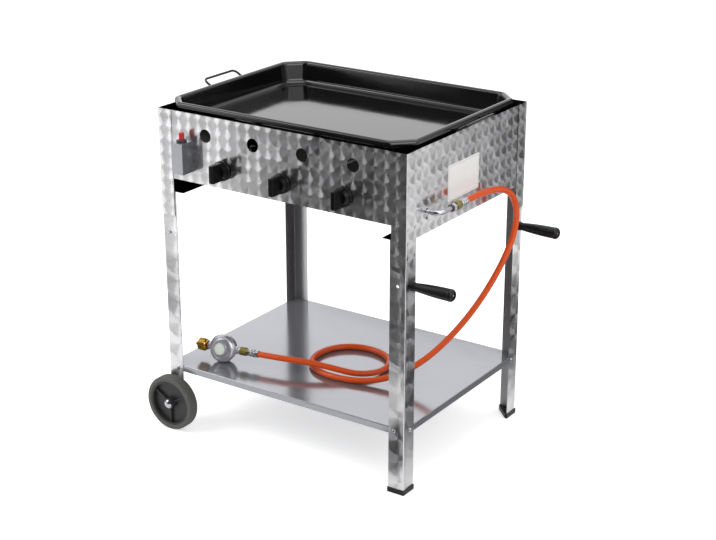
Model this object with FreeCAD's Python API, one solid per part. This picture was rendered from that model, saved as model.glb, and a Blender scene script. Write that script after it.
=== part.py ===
import FreeCAD, Part
import math
import os

# Gas griddle on a trolley, in millimetres. X points right (handles, gas inlet), Y back, Z up from the floor.
# Shapes are drawn about the middle of the griddle box and moved to the part's own origin when written.

# Griddle box
BOX_WIDTH = 650.0
BOX_DEPTH = 500.0
SHEET = 1.0
POST_HEIGHT = 245.0
POST_FLANGE = 37.0
FRONT_PANEL_HEIGHT = 157.0
SIDE_PANEL_HEIGHT = 189.0
SIDE_FLANGE = 60.0
PANEL_LIP = 12.0
FOLD_INSIDE = 1.0
PANEL_SETBACK = 1.2

# Trolley
LEG_HEIGHT = 578.0
LEG_FLANGE = 39.0
LEG_SHEET = 1.2
NEST_GAP = 0.4
SHELF_TOP = 155.0
SHELF_EDGE = 15.0
SHELF_FOLD = 1.8
LEFT_LEG_BOTTOM = 40.0
CAP_HEIGHT = 11.0
CAP_SOLE = 3.0
CAP_WALL = 1.6
LEG_HOLE_RADIUS = 3.3
LEG_TOP_HOLE_DROP = 18.0

# Grips on the right legs
GRIP_HEIGHT = 480.0
GRIP_LENGTH = 105.0
GRIP_ROOT_RADIUS = 9.0
GRIP_MIDDLE_RADIUS = 12.2
GRIP_END_RADIUS = 13.2
GRIP_NOSE = 12.0
GRIP_BOLT_RADIUS = 3.0
GRIP_HEAD_RADIUS = 5.5

# Wheels on the left legs
WHEEL_RADIUS = 65.5
HUB_RADIUS = 54.0
TYRE_WIDTH = 28.0
TYRE_ROUND = 5.0
HUB_LENGTH = 32.0
AXLE_RADIUS = 5.0
RUNNING_GAP = 0.05
SIDE_GAP = 0.4
AXLE_COLLAR = 3.0
WHEEL_CAP_RADIUS = 10.5
WHEEL_CAP_HEIGHT = 6.0

# Pan
RIM_RISE = 17.0
RIM_INSET = 6.0
RIM_BEAD = 8.0
PAN_SHEET = 2.0
PAN_CHAMFER = 44.0
PAN_CORNER_ROUND = 18.0
PAN_DEPTH = 50.0
PAN_BEND = 12.0
PAN_HANDLE_WIDTH = 114.0
PAN_HANDLE_REACH = 26.0
PAN_HANDLE_WIRE = 2.8
PAN_HANDLE_BEND = 12.0
PAN_HANDLE_RISE = 29.2

# Front panel layout, measured down from the top of the box
VENT_SPACING = 129.0
VENT_RADIUS = 15.0
VENT_DROP = 45.0
TAP_SPACING = 159.0
TAP_OFFSET = 18.0
TAP_DROP = 112.0

# Taps and knobs
KNOB_REACH = 50.0
KNOB_RADIUS = 22.5
KNOB_SKIRT = 10.0
KNOB_GRIP_ROOT = 14.0
KNOB_GRIP_FRONT = 11.0
KNOB_GRIP_REACH = 20.5
KNOB_GRIP_ROUND = 3.0
KNOB_GAP = 6.5
KNOB_TRAVEL = 4.0
SPINDLE_RADIUS = 4.0
PLUG_RADIUS = 7.0
TAP_RADIUS = 13.0
MANIFOLD_RADIUS = 8.0
MANIFOLD_DROP = 141.0
MANIFOLD_SETBACK = 28.0

# Burners
BURNER_RADIUS = 17.0
BURNER_SHEET = 1.5
BURNER_PORTS = 13
PORT_WIDTH = 2.5
PORT_PITCH = 24.0

# Igniter box on the front panel
IGNITER_WIDTH = 30.0
IGNITER_REACH = 35.0
IGNITER_HEIGHT = 70.0
IGNITER_RIGHT = -231.0
IGNITER_DROP = 62.0
BUTTON_RADIUS = 6.0
BUTTON_RISE = 17.0
BUTTON_TRAVEL = 6.0

# Gas inlet on the right side
INLET_SETBACK = 80.0
INLET_REACH = 31.0
INLET_RADIUS = 5.0
INLET_BEND = 16.0
SPARE_HOLE_RADIUS = 3.0
SPARE_HOLE_DROP = 15.0
UNION_FLATS = 17.0
NUT_FLATS = 19.0

# Hose and regulator
HOSE_RADIUS = 7.0
FERRULE_RADIUS = 8.5
FERRULE_LENGTH = 24.0
NUT_LENGTH = 22.0
REGULATOR_RADIUS = 33.0
REGULATOR_TURN = 10.0
REGULATOR_LEAN = 14.0
REGULATOR_SEAT = 31.05
PIPE_DEPTH = 18.0
SHELF_CLEARANCE = 0.3
BOTTLE_NUT_RADIUS = 16.0

HALF_W = BOX_WIDTH / 2
HALF_D = BOX_DEPTH / 2
POST_BOTTOM = LEG_HEIGHT - (POST_HEIGHT - SIDE_PANEL_HEIGHT)
BOX_TOP = POST_BOTTOM + POST_HEIGHT
FRONT_FACE = -HALF_D + SHEET
FRONT_BACK = FRONT_FACE + SHEET
LEG_X = HALF_W - SHEET - NEST_GAP
LEG_Y = HALF_D - SHEET - NEST_GAP
AXLE_X = -(LEG_X - LEG_FLANGE / 2)
GRIP_Y = LEG_Y - LEG_FLANGE / 2
RIM_TOP = BOX_TOP + RIM_RISE
TAP_Z = BOX_TOP - TAP_DROP
GAS_Z = BOX_TOP - MANIFOLD_DROP
MANIFOLD_Y = -HALF_D + MANIFOLD_SETBACK
INLET_Y = -HALF_D + INLET_SETBACK
INLET_X = HALF_W + INLET_REACH
TAP_NAMES = ("left", "middle", "right")
TAP_X = [TAP_OFFSET + TAP_SPACING * step for step in (-1, 0, 1)]

# The origin lies on the floor under the middle of the part, hose and regulator left out.
LEFT_REACH = -AXLE_X + WHEEL_RADIUS
RIGHT_REACH = LEG_X + GRIP_LENGTH
FRONT_REACH = HALF_D + KNOB_REACH
BACK_REACH = LEG_Y + AXLE_COLLAR + 2 * SIDE_GAP + HUB_LENGTH + WHEEL_CAP_HEIGHT
FRAME_SHIFT = FreeCAD.Vector((LEFT_REACH - RIGHT_REACH) / 2, (FRONT_REACH - BACK_REACH) / 2, 0)

X_AXIS = FreeCAD.Vector(1, 0, 0)
Y_AXIS = FreeCAD.Vector(0, 1, 0)
Z_AXIS = FreeCAD.Vector(0, 0, 1)


def vec(x, y, z):
    return FreeCAD.Vector(x, y, z)


def box(low, high):
    return Part.makeBox(high[0] - low[0], high[1] - low[1], high[2] - low[2], vec(*low))


def rod(start, end, radius):
    along = vec(*end) - vec(*start)
    return Part.makeCylinder(radius, along.Length, vec(*start), along)


def joined(shapes):
    result = shapes[0]
    for shape in shapes[1:]:
        result = result.fuse(shape)
    return result.removeSplitter()


def mirrored(shape, axis):
    return shape.mirror(vec(0, 0, 0), axis)


def prism(points, lift):
    outline = Part.makePolygon([vec(*point) for point in points] + [vec(*points[0])])
    return Part.Face(outline).extrude(lift)


def hexagon(start, end, flats):
    along = vec(*end) - vec(*start)
    side = Z_AXIS
    corner = flats / math.sqrt(3)
    turn = FreeCAD.Rotation(along, 60)
    arm = side * corner
    points = []
    for _ in range(6):
        points.append(vec(*start) + arm)
        arm = turn.multVec(arm)
    return Part.Face(Part.makePolygon(points + [points[0]])).extrude(along)


def turned(profile, origin, axis, side):
    """Revolves (along, radius) steps about an axis; a step with a third value is an arc through that point."""
    def place(along, radius):
        return origin + axis * along + side * radius

    edges = []
    last = profile[0]
    for step in profile[1:]:
        start = place(last[0], last[1])
        end = place(step[0], step[1])
        if len(step) == 3:
            edges.append(Part.Arc(start, place(*step[2]), end).toShape())
        else:
            edges.append(Part.LineSegment(start, end).toShape())
        last = step
    first = place(profile[0][0], profile[0][1])
    edges.append(Part.LineSegment(place(last[0], last[1]), first).toShape())
    return Part.Face(Part.Wire(edges)).revolve(origin, axis, 360)


def dome_step(base, radius, height):
    """The last step of a turned profile: part of a ball that closes on the axis."""
    ball = (radius ** 2 + height ** 2) / (2 * abs(height))
    outward = math.copysign(1, height)
    centre = base + height - outward * ball
    half = math.asin(radius / ball) / 2
    return (base + height, 0, (centre + outward * ball * math.cos(half), ball * math.sin(half)))


def corner_cut(previous, point, following, radius):
    """Where a round of this radius leaves the two straight runs at a corner, and its middle point."""
    back = (previous - point).normalize()
    ahead = (following - point).normalize()
    half_turn = (math.pi - back.getAngle(ahead)) / 2
    reach = radius * math.tan(half_turn)
    inward = (back + ahead).normalize()
    middle = point + inward * (radius / math.cos(half_turn) - radius)
    return point + back * reach, middle, point + ahead * reach


def run_edges(points, radii, closed):
    """Straight runs joined by tangent arcs; a corner with no radius stays sharp."""
    count = len(points)
    corners = []
    for index in range(count):
        end = not closed and index in (0, count - 1)
        if end or radii[index] == 0:
            corners.append((points[index], None, points[index]))
        else:
            following = points[(index + 1) % count]
            corners.append(corner_cut(points[index - 1], points[index], following, radii[index]))
    edges = []
    for index in range(count):
        start, middle, end = corners[index]
        if middle is not None:
            edges.append(Part.Arc(start, middle, end).toShape())
        if closed or index < count - 1:
            ahead = corners[(index + 1) % count][0]
            edges.append(Part.LineSegment(end, ahead).toShape())
    return edges


def bent_rod(points, radius, bend):
    """A round wire or pipe along straight runs with equal bends."""
    places = [vec(*point) for point in points]
    path = Part.Wire(run_edges(places, [bend] * len(places), False))
    ring = Part.Wire(Part.makeCircle(radius, places[0], places[1] - places[0]))
    return path.makePipeShell([ring], True, True)


def angle_bar(corner_x, corner_y, flange, sheet, low, high):
    """A folded angle whose outer corner is at (corner_x, corner_y) and whose flanges point to the middle."""
    to_x = -math.copysign(1, corner_x)
    to_y = -math.copysign(1, corner_y)
    steps = [(0, 0), (flange, 0), (flange, sheet), (sheet, sheet), (sheet, flange), (0, flange)]
    points = [vec(corner_x + to_x * along, corner_y + to_y * across, low) for along, across in steps]
    radii = [FOLD_INSIDE + sheet, 0, 0, FOLD_INSIDE, 0, 0]
    section = Part.Face(Part.Wire(run_edges(points, radii, True)))
    return section.extrude(vec(0, 0, high - low))


# Trolley

def leg(side_x, side_y):
    bottom = CAP_SOLE if side_x > 0 else LEFT_LEG_BOTTOM
    bar = angle_bar(side_x * LEG_X, side_y * LEG_Y, LEG_FLANGE, LEG_SHEET, bottom, LEG_HEIGHT)
    middle_x = side_x * (LEG_X - LEG_FLANGE / 2)
    middle_y = side_y * (LEG_Y - LEG_FLANGE / 2)
    wall_x = side_x * LEG_X
    wall_y = side_y * LEG_Y
    reach = 2 * LEG_SHEET
    holes = []
    for z in (LEG_HEIGHT - LEG_TOP_HOLE_DROP, GRIP_HEIGHT):
        holes.append(rod((middle_x, wall_y - reach, z), (middle_x, wall_y + reach, z), LEG_HOLE_RADIUS))
        holes.append(rod((wall_x - reach, middle_y, z), (wall_x + reach, middle_y, z), LEG_HOLE_RADIUS))
    if side_x < 0:
        bore = AXLE_RADIUS + RUNNING_GAP
        z = WHEEL_RADIUS
        holes.append(rod((AXLE_X, wall_y - reach, z), (AXLE_X, wall_y + reach, z), bore))
    for start, end in shelf_screw_lines(side_x, side_y):
        holes.append(rod(start, end, SCREW_RADIUS + RUNNING_GAP))
    for hole in holes:
        bar = bar.cut(hole)
    return bar


SCREW_RADIUS = 2.5
SCREW_HEAD_RADIUS = 4.5
SCREW_HEAD_HEIGHT = 2.6
SCREW_REACH = 9.0
SCREW_INSET = 26.0


def shelf_screw_lines(side_x, side_y):
    """Start, at the outer face of the leg, and end of the two screws at one corner."""
    height = SHELF_TOP - SHELF_EDGE / 2
    wall_x = side_x * LEG_X
    wall_y = side_y * LEG_Y
    along_x = side_x * (LEG_X - SCREW_INSET)
    along_y = side_y * (LEG_Y - SCREW_INSET)
    return [
        ((along_x, wall_y, height), (along_x, wall_y - side_y * SCREW_REACH, height)),
        ((wall_x, along_y, height), (wall_x - side_x * SCREW_REACH, along_y, height)),
    ]


def corners():
    return [(side_x, side_y) for side_x in (-1, 1) for side_y in (-1, 1)]


def shelf():
    half_x = LEG_X - LEG_SHEET
    half_y = LEG_Y - LEG_SHEET
    tray = box((-half_x, -half_y, SHELF_TOP - SHELF_EDGE), (half_x, half_y, SHELF_TOP))
    folds = [edge for edge in tray.Edges if edge.BoundBox.ZMax > SHELF_TOP - 1]
    tray = tray.makeFillet(SHELF_FOLD, folds)
    inside_x = half_x - LEG_SHEET
    inside_y = half_y - LEG_SHEET
    low = SHELF_TOP - SHELF_EDGE
    under = box((-inside_x, -inside_y, low - 1), (inside_x, inside_y, SHELF_TOP - LEG_SHEET))
    tray = tray.cut(under)
    for side_x, side_y in corners():
        for start, end in shelf_screw_lines(side_x, side_y):
            tray = tray.cut(rod(start, end, SCREW_RADIUS + RUNNING_GAP))
    return tray


def shelf_screws():
    screws = []
    for side_x, side_y in corners():
        for start, end in shelf_screw_lines(side_x, side_y):
            along = (vec(*end) - vec(*start)).normalize()
            shank = rod(start, end, SCREW_RADIUS)
            dome = [(0, 0), (0, SCREW_HEAD_RADIUS), dome_step(0, SCREW_HEAD_RADIUS, -SCREW_HEAD_HEIGHT)]
            screws.append(shank.fuse(turned(dome, vec(*start), along, Z_AXIS)))
    return Part.makeCompound(screws)


def grip(side_y):
    neck = 14.0
    tip = GRIP_LENGTH - GRIP_NOSE
    bore = GRIP_BOLT_RADIUS + RUNNING_GAP
    pocket = GRIP_HEAD_RADIUS + 0.3
    pocket_depth = 5.0
    profile = [
        (0, bore),
        (0, GRIP_ROOT_RADIUS + 1),
        (neck / 2, GRIP_ROOT_RADIUS + 1),
        (neck, GRIP_ROOT_RADIUS, (0.8 * neck, GRIP_ROOT_RADIUS + 0.3)),
        (tip, GRIP_END_RADIUS, (0.5 * (neck + tip), GRIP_MIDDLE_RADIUS)),
        (GRIP_LENGTH, pocket + 1.5, (GRIP_LENGTH - 2.5, GRIP_END_RADIUS - 2.2)),
        (GRIP_LENGTH, pocket),
        (GRIP_LENGTH - pocket_depth, pocket),
        (GRIP_LENGTH - pocket_depth, bore),
    ]
    return turned(profile, vec(LEG_X, side_y * GRIP_Y, GRIP_HEIGHT), X_AXIS, Z_AXIS)


NUT_HEIGHT = 5.0
GRIP_NUT_FLATS = 10.0
AXLE_NUT_FLATS = 16.0


def grip_bolt(side_y):
    inner = LEG_X - LEG_SHEET - NUT_HEIGHT - 2
    seat = LEG_X + GRIP_LENGTH - 5.0
    start = (inner, side_y * GRIP_Y, GRIP_HEIGHT)
    shank = rod(start, (seat, side_y * GRIP_Y, GRIP_HEIGHT), GRIP_BOLT_RADIUS)
    dome = [(0, 0), (0, GRIP_HEAD_RADIUS), dome_step(0, GRIP_HEAD_RADIUS, 3.5)]
    head = turned(dome, vec(seat, side_y * GRIP_Y, GRIP_HEIGHT), X_AXIS, Z_AXIS)
    return shank.fuse(head)


def grip_nut(side_y):
    face = LEG_X - LEG_SHEET
    start = (face - NUT_HEIGHT, side_y * GRIP_Y, GRIP_HEIGHT)
    end = (face, side_y * GRIP_Y, GRIP_HEIGHT)
    return hexagon(start, end, GRIP_NUT_FLATS).cut(rod(start, end, GRIP_BOLT_RADIUS))


def axle_nut(side_y):
    inner = side_y * (LEG_Y - LEG_SHEET)
    start = (AXLE_X, inner - side_y * 1.4 * NUT_HEIGHT, WHEEL_RADIUS)
    end = (AXLE_X, inner, WHEEL_RADIUS)
    return hexagon(start, end, AXLE_NUT_FLATS).cut(rod(start, end, AXLE_RADIUS))


def foot_cap(side_y):
    outer_x = LEG_X + CAP_WALL
    outer_y = side_y * (LEG_Y + CAP_WALL)
    span = LEG_FLANGE + 2 * CAP_WALL
    tip = 6.0
    points = [
        (outer_x, outer_y, 0),
        (outer_x, outer_y - side_y * span, 0),
        (outer_x - tip, outer_y - side_y * span, 0),
        (outer_x - span, outer_y - side_y * tip, 0),
        (outer_x - span, outer_y, 0),
    ]
    block = prism(points, vec(0, 0, CAP_HEIGHT))
    slot = angle_bar(LEG_X, side_y * LEG_Y, LEG_FLANGE, LEG_SHEET, CAP_SOLE, CAP_HEIGHT + 1)
    return block.cut(slot)


def axle_bolt(side_y):
    wall = LEG_Y
    inner = side_y * (wall - LEG_SHEET - 1.4 * NUT_HEIGHT - 2)
    cap_seat = side_y * (wall + AXLE_COLLAR + 2 * SIDE_GAP + HUB_LENGTH + 3)
    shaft = rod((AXLE_X, inner, WHEEL_RADIUS), (AXLE_X, cap_seat, WHEEL_RADIUS), AXLE_RADIUS)
    start = (AXLE_X, side_y * wall, WHEEL_RADIUS)
    end = (AXLE_X, side_y * (wall + AXLE_COLLAR), WHEEL_RADIUS)
    return shaft.fuse(rod(start, end, 1.8 * AXLE_RADIUS))


def wheel_cap(side_y):
    low = LEG_Y + AXLE_COLLAR + 2 * SIDE_GAP + HUB_LENGTH
    profile = [
        (3, 0),
        (3, AXLE_RADIUS),
        (0, AXLE_RADIUS),
        (0, WHEEL_CAP_RADIUS),
        (1.5, WHEEL_CAP_RADIUS),
        dome_step(1.5, WHEEL_CAP_RADIUS, WHEEL_CAP_HEIGHT - 1.5),
    ]
    return turned(profile, vec(AXLE_X, side_y * low, WHEEL_RADIUS), Y_AXIS * side_y, Z_AXIS)


HUB_WEB = 6.0
HUB_RIM = 4.5
HUB_RIM_WIDTH = 24.0
HUB_BOSS_RADIUS = 13.0
HUB_RIB = 2.6
HUB_RIB_HEIGHT = 9.0


def wheel_middle(side_y):
    return vec(AXLE_X, side_y * (LEG_Y + AXLE_COLLAR + SIDE_GAP + HUB_LENGTH / 2), WHEEL_RADIUS)


def wheel_hub(side_y):
    rim = HUB_RADIUS - HUB_RIM
    bore = AXLE_RADIUS + RUNNING_GAP
    profile = [
        (-HUB_LENGTH / 2, bore),
        (-HUB_LENGTH / 2, HUB_BOSS_RADIUS),
        (-HUB_WEB / 2, HUB_BOSS_RADIUS + 1),
        (-HUB_WEB / 2, rim - 1),
        (-HUB_RIM_WIDTH / 2, rim),
        (-HUB_RIM_WIDTH / 2, HUB_RADIUS),
        (HUB_RIM_WIDTH / 2, HUB_RADIUS),
        (HUB_RIM_WIDTH / 2, rim),
        (HUB_WEB / 2, rim - 1),
        (HUB_WEB / 2, HUB_BOSS_RADIUS + 1),
        (HUB_LENGTH / 2, HUB_BOSS_RADIUS),
        (HUB_LENGTH / 2, bore),
    ]
    middle = wheel_middle(side_y)
    pieces = [turned(profile, middle, Y_AXIS, Z_AXIS)]
    for index in range(3):
        rib = box((-HUB_RIB / 2, -HUB_RIB_HEIGHT, HUB_BOSS_RADIUS - 1), (HUB_RIB / 2, HUB_RIB_HEIGHT, rim))
        rib.rotate(vec(0, 0, 0), Y_AXIS, 180 + 120 * index)
        rib.translate(middle)
        pieces.append(rib)
    return joined(pieces)


def wheel_tyre(side_y):
    half = TYRE_WIDTH / 2
    edge = WHEEL_RADIUS - TYRE_ROUND
    soft = TYRE_ROUND * (1 - math.sqrt(0.5))
    profile = [
        (-HUB_RIM_WIDTH / 2, HUB_RADIUS),
        (-half, HUB_RADIUS + 1.5),
        (-half, edge),
        (-half + TYRE_ROUND, WHEEL_RADIUS, (-half + soft, WHEEL_RADIUS - soft)),
        (half - TYRE_ROUND, WHEEL_RADIUS),
        (half, edge, (half - soft, WHEEL_RADIUS - soft)),
        (half, HUB_RADIUS + 1.5),
        (HUB_RIM_WIDTH / 2, HUB_RADIUS),
    ]
    return turned(profile, wheel_middle(side_y), Y_AXIS, Z_AXIS)


# Griddle box

def post(side_x, side_y):
    return angle_bar(side_x * HALF_W, side_y * HALF_D, POST_FLANGE, SHEET, POST_BOTTOM, BOX_TOP)


PANEL_HALF_W = HALF_W - 2 * SHEET
SPINDLE_HOLE = 6.0
LEAD_HOLE = 4.0


def lipped_panel(side_y):
    """The front or rear sheet, with its bottom edge folded in."""
    outer = side_y * (HALF_D - SHEET)
    inner = side_y * (HALF_D - 2 * SHEET)
    lip = side_y * (HALF_D - SHEET - PANEL_LIP)
    bottom = BOX_TOP - FRONT_PANEL_HEIGHT
    wall = box((-PANEL_HALF_W, min(outer, inner), bottom), (PANEL_HALF_W, max(outer, inner), BOX_TOP))
    half_lip = HALF_W - POST_FLANGE
    fold = box((-half_lip, min(outer, lip), bottom), (half_lip, max(outer, lip), bottom + SHEET))
    return joined([wall, fold])


def front_panel():
    panel = lipped_panel(-1)
    holes = []
    for step in (-1.5, -0.5, 0.5, 1.5):
        holes.append((step * VENT_SPACING, BOX_TOP - VENT_DROP, VENT_RADIUS))
    for place in TAP_X:
        holes.append((place, TAP_Z, SPINDLE_HOLE))
    holes.append((BUTTON_X, LEAD_Z, LEAD_HOLE))
    for x, z, radius in holes:
        panel = panel.cut(rod((x, FRONT_FACE - SHEET, z), (x, FRONT_BACK + SHEET, z), radius))
    return panel


def side_panel(side_x):
    outer = side_x * (HALF_W - SHEET)
    inner = side_x * (HALF_W - 2 * SHEET)
    edge = side_x * (HALF_W - SHEET - SIDE_FLANGE)
    half_y = HALF_D - SHEET - PANEL_SETBACK
    bottom = BOX_TOP - SIDE_PANEL_HEIGHT
    wall = box((min(outer, inner), -half_y, bottom), (max(outer, inner), half_y, BOX_TOP))
    flange = box((min(outer, edge), -half_y, bottom), (max(outer, edge), half_y, bottom + SHEET))
    panel = joined([wall, flange])
    if side_x > 0:
        spare_z = GAS_Z - SPARE_HOLE_DROP
        for z, radius in ((GAS_Z, INLET_RADIUS + 1.5), (spare_z, SPARE_HOLE_RADIUS)):
            panel = panel.cut(rod((inner - 1, INLET_Y, z), (outer + 1, INLET_Y, z), radius))
    return panel


PAN_RAIL_SHEET = 1.5
PAN_RAIL_SEAT = 52.0
PAN_RAIL_DROP = 22.0
PAN_RAIL_HALF_LENGTH = 200.0


def pan_rail(side_x):
    """An angle on the inside of a side panel; the edge of the pan's floor sits on its top."""
    wall = side_x * PANEL_HALF_W
    edge = side_x * (PANEL_HALF_W - PAN_RAIL_SEAT)
    back = side_x * (PANEL_HALF_W - PAN_RAIL_SHEET)
    top = RIM_TOP - PAN_DEPTH - PAN_SHEET
    half = PAN_RAIL_HALF_LENGTH
    seat = box((min(wall, edge), -half, top - PAN_RAIL_SHEET), (max(wall, edge), half, top))
    foot = box((min(wall, back), -half, top - PAN_RAIL_DROP), (max(wall, back), half, top))
    return joined([seat, foot])


# Pan

def pan_outline(inset, height):
    """The pan's outline, a rectangle with cut corners, moved in from the edge of the rim."""
    half_x = HALF_W - RIM_INSET - inset
    half_y = HALF_D - RIM_INSET - inset
    cut = PAN_CHAMFER - inset * (2 - math.sqrt(2))
    right = [(half_x, -half_y + cut), (half_x, half_y - cut)]
    back = [(half_x - cut, half_y), (-half_x + cut, half_y)]
    points = right + back + [(-x, -y) for x, y in right + back]
    places = [vec(x, y, RIM_TOP + height) for x, y in points]
    return Part.Wire(run_edges(places, [PAN_CORNER_ROUND] * len(places), True))


WALL_TOP_INSET = 2 * RIM_BEAD - PAN_SHEET
WALL_FLOOR_INSET = 21.0


def pan_wall(thin, bend):
    """The solid inside the pan's wall, with its bottom edge rounded; moved in and up by the sheet for the hollow."""
    floor = -PAN_DEPTH - PAN_SHEET + thin
    rings = [
        pan_outline(WALL_FLOOR_INSET + thin, floor),
        pan_outline(WALL_TOP_INSET + thin, -RIM_BEAD + thin),
    ]
    block = Part.makeLoft(rings, True, True)
    rim = [edge for edge in block.Edges if edge.BoundBox.ZMax < RIM_TOP + floor + 0.01]
    return block.makeFillet(bend, rim)


def pan():
    outside = pan_wall(0, PAN_BEND + PAN_SHEET)
    hollow = pan_wall(PAN_SHEET, PAN_BEND)
    start = pan_outline(RIM_BEAD, -RIM_BEAD)
    middle = vec(HALF_W - RIM_INSET - RIM_BEAD, 0, RIM_TOP - RIM_BEAD)
    path = Part.Wire(sorted_from(start.Edges, middle))
    ring = Part.Wire(Part.makeCircle(RIM_BEAD, middle, Y_AXIS))
    bead = path.makePipeShell([ring], True, False)
    return joined([outside.cut(hollow), bead.cut(hollow)])


def sorted_from(edges, start):
    """The closed run of edges, split and reordered so that it begins at a point on one of its straights."""
    for index, edge in enumerate(edges):
        first = edge.valueAt(edge.FirstParameter)
        last = edge.valueAt(edge.LastParameter)
        if isinstance(edge.Curve, Part.Line) and abs(edge.distToShape(Part.Vertex(start))[0]) < 1e-6:
            before = Part.LineSegment(first, start).toShape()
            after = Part.LineSegment(start, last).toShape()
            return [after] + edges[index + 1:] + edges[:index] + [before]
    raise ValueError("the rim's start lies on none of its straights")


def pan_handle(side_x, body):
    wall = HALF_W - RIM_INSET - WALL_TOP_INSET - 2.2 * PAN_SHEET
    reach = HALF_W + PAN_HANDLE_REACH
    half = PAN_HANDLE_WIDTH / 2
    high = RIM_TOP + 2.5
    low = high - PAN_HANDLE_RISE
    points = [(wall, -half, low), (reach, -half, high), (reach, half, high), (wall, half, low)]
    loop = bent_rod(points, PAN_HANDLE_WIRE, PAN_HANDLE_BEND)
    if side_x < 0:
        loop = mirrored(loop, X_AXIS)
    return max(loop.cut(body).Solids, key=lambda piece: piece.Volume)


# Gas train

MANIFOLD_LEFT = TAP_X[0] - 17.0
MANIFOLD_RIGHT = TAP_X[2] + 51.0
TAP_BACK = -200.0
TAP_SADDLE_RADIUS = 12.0
TAP_STEM_RADIUS = 8.0
PLUG_FRONT = FRONT_BACK + 4.0
PLUG_BACK = -219.0
SPINDLE_BACK = -233.0
INJECTOR_BACK = -186.0


def manifold():
    return rod((MANIFOLD_LEFT, MANIFOLD_Y, GAS_Z), (MANIFOLD_RIGHT, MANIFOLD_Y, GAS_Z), MANIFOLD_RADIUS)


def inlet_pipe():
    points = [
        (MANIFOLD_RIGHT, MANIFOLD_Y, GAS_Z),
        (MANIFOLD_RIGHT + 40, MANIFOLD_Y, GAS_Z),
        (MANIFOLD_RIGHT + 58, INLET_Y, GAS_Z),
        (INLET_X, INLET_Y, GAS_Z),
        (INLET_X, UNION_Y, GAS_Z),
    ]
    return bent_rod(points, INLET_RADIUS, INLET_BEND)


def tap_body(x):
    bore = PLUG_RADIUS + RUNNING_GAP
    profile = [
        (FRONT_BACK, bore),
        (FRONT_BACK, TAP_RADIUS - 2),
        (FRONT_BACK + 8, TAP_RADIUS),
        (-216, TAP_RADIUS),
        (-209, 9),
        (TAP_BACK, 9),
        (TAP_BACK, 0),
        (PLUG_BACK + 1, 0),
        (PLUG_BACK + 1, bore),
    ]
    barrel = turned(profile, vec(x, 0, TAP_Z), Y_AXIS, X_AXIS)
    stem = rod((x, MANIFOLD_Y, GAS_Z), (x, MANIFOLD_Y, TAP_Z - PLUG_RADIUS - 2), TAP_STEM_RADIUS)
    saddle = rod((x - 12, MANIFOLD_Y, GAS_Z), (x + 12, MANIFOLD_Y, GAS_Z), TAP_SADDLE_RADIUS)
    pipe = rod((x - 20, MANIFOLD_Y, GAS_Z), (x + 20, MANIFOLD_Y, GAS_Z), MANIFOLD_RADIUS)
    return joined([barrel, stem, saddle]).cut(pipe)


def tap_plug(x):
    plug = rod((x, PLUG_FRONT, TAP_Z), (x, PLUG_BACK, TAP_Z), PLUG_RADIUS)
    depth = SPINDLE_BACK + KNOB_TRAVEL + 1
    socket = rod((x, PLUG_FRONT - 1, TAP_Z), (x, depth, TAP_Z), SPINDLE_RADIUS + RUNNING_GAP)
    return plug.cut(socket)


KNOB_BACK = FRONT_FACE - KNOB_GAP
KNOB_FRONT = -HALF_D - KNOB_REACH
SPINDLE_FRONT = KNOB_BACK - 14.0


def spindle(x):
    return rod((x, SPINDLE_BACK, TAP_Z), (x, SPINDLE_FRONT, TAP_Z), SPINDLE_RADIUS)


def knob(x):
    """A round skirt with a bar to grip across its face, upright when the tap is shut."""
    profile = [
        (0, 0),
        (0, KNOB_RADIUS),
        (-0.6 * KNOB_SKIRT, KNOB_RADIUS),
        (-KNOB_SKIRT, KNOB_RADIUS - 3.5, (-0.9 * KNOB_SKIRT, KNOB_RADIUS - 1.2)),
        (-1.6 * KNOB_SKIRT, 0.6 * KNOB_RADIUS),
        (-1.6 * KNOB_SKIRT, 0),
    ]
    skirt = turned(profile, vec(x, KNOB_BACK, TAP_Z), Y_AXIS, X_AXIS)
    root = KNOB_BACK - 0.8 * KNOB_SKIRT
    low = TAP_Z - KNOB_RADIUS
    outline = [
        vec(x - KNOB_GRIP_ROOT / 2, root, low),
        vec(x - KNOB_GRIP_FRONT / 2, KNOB_FRONT, low),
        vec(x + KNOB_GRIP_FRONT / 2, KNOB_FRONT, low),
        vec(x + KNOB_GRIP_ROOT / 2, root, low),
    ]
    radii = [0, KNOB_GRIP_ROUND, KNOB_GRIP_ROUND, 0]
    bar = Part.Face(Part.Wire(run_edges(outline, radii, True))).extrude(Z_AXIS * 2 * KNOB_RADIUS)
    soft = KNOB_GRIP_ROUND * (1 - math.sqrt(0.5))
    ends = [
        (root, 0),
        (root, KNOB_GRIP_REACH),
        (KNOB_FRONT + KNOB_GRIP_ROUND, KNOB_GRIP_REACH),
        (KNOB_FRONT, KNOB_GRIP_REACH - KNOB_GRIP_ROUND, (KNOB_FRONT + soft, KNOB_GRIP_REACH - soft)),
        (KNOB_FRONT, 0),
    ]
    bar = bar.common(turned(ends, vec(x, 0, TAP_Z), Y_AXIS, X_AXIS))
    socket = rod((x, KNOB_BACK + 1, TAP_Z), (x, SPINDLE_FRONT, TAP_Z), SPINDLE_RADIUS)
    return joined([skirt, bar]).cut(socket)


def injectors():
    jets = []
    for x in TAP_X:
        flats = hexagon((x, TAP_BACK, TAP_Z), (x, TAP_BACK + 6, TAP_Z), 11)
        nose = Part.makeCone(4.5, 2.5, INJECTOR_BACK - TAP_BACK - 6, vec(x, TAP_BACK + 6, TAP_Z), Y_AXIS)
        jets.append(flats.fuse(nose))
    return Part.makeCompound(jets)


BURNER_MOUTH = -192.0
BURNER_FRONT = -150.0
BURNER_END = 215.0
BURNER_TAIL = 240.0
TAIL_THICKNESS = 3.0


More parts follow.
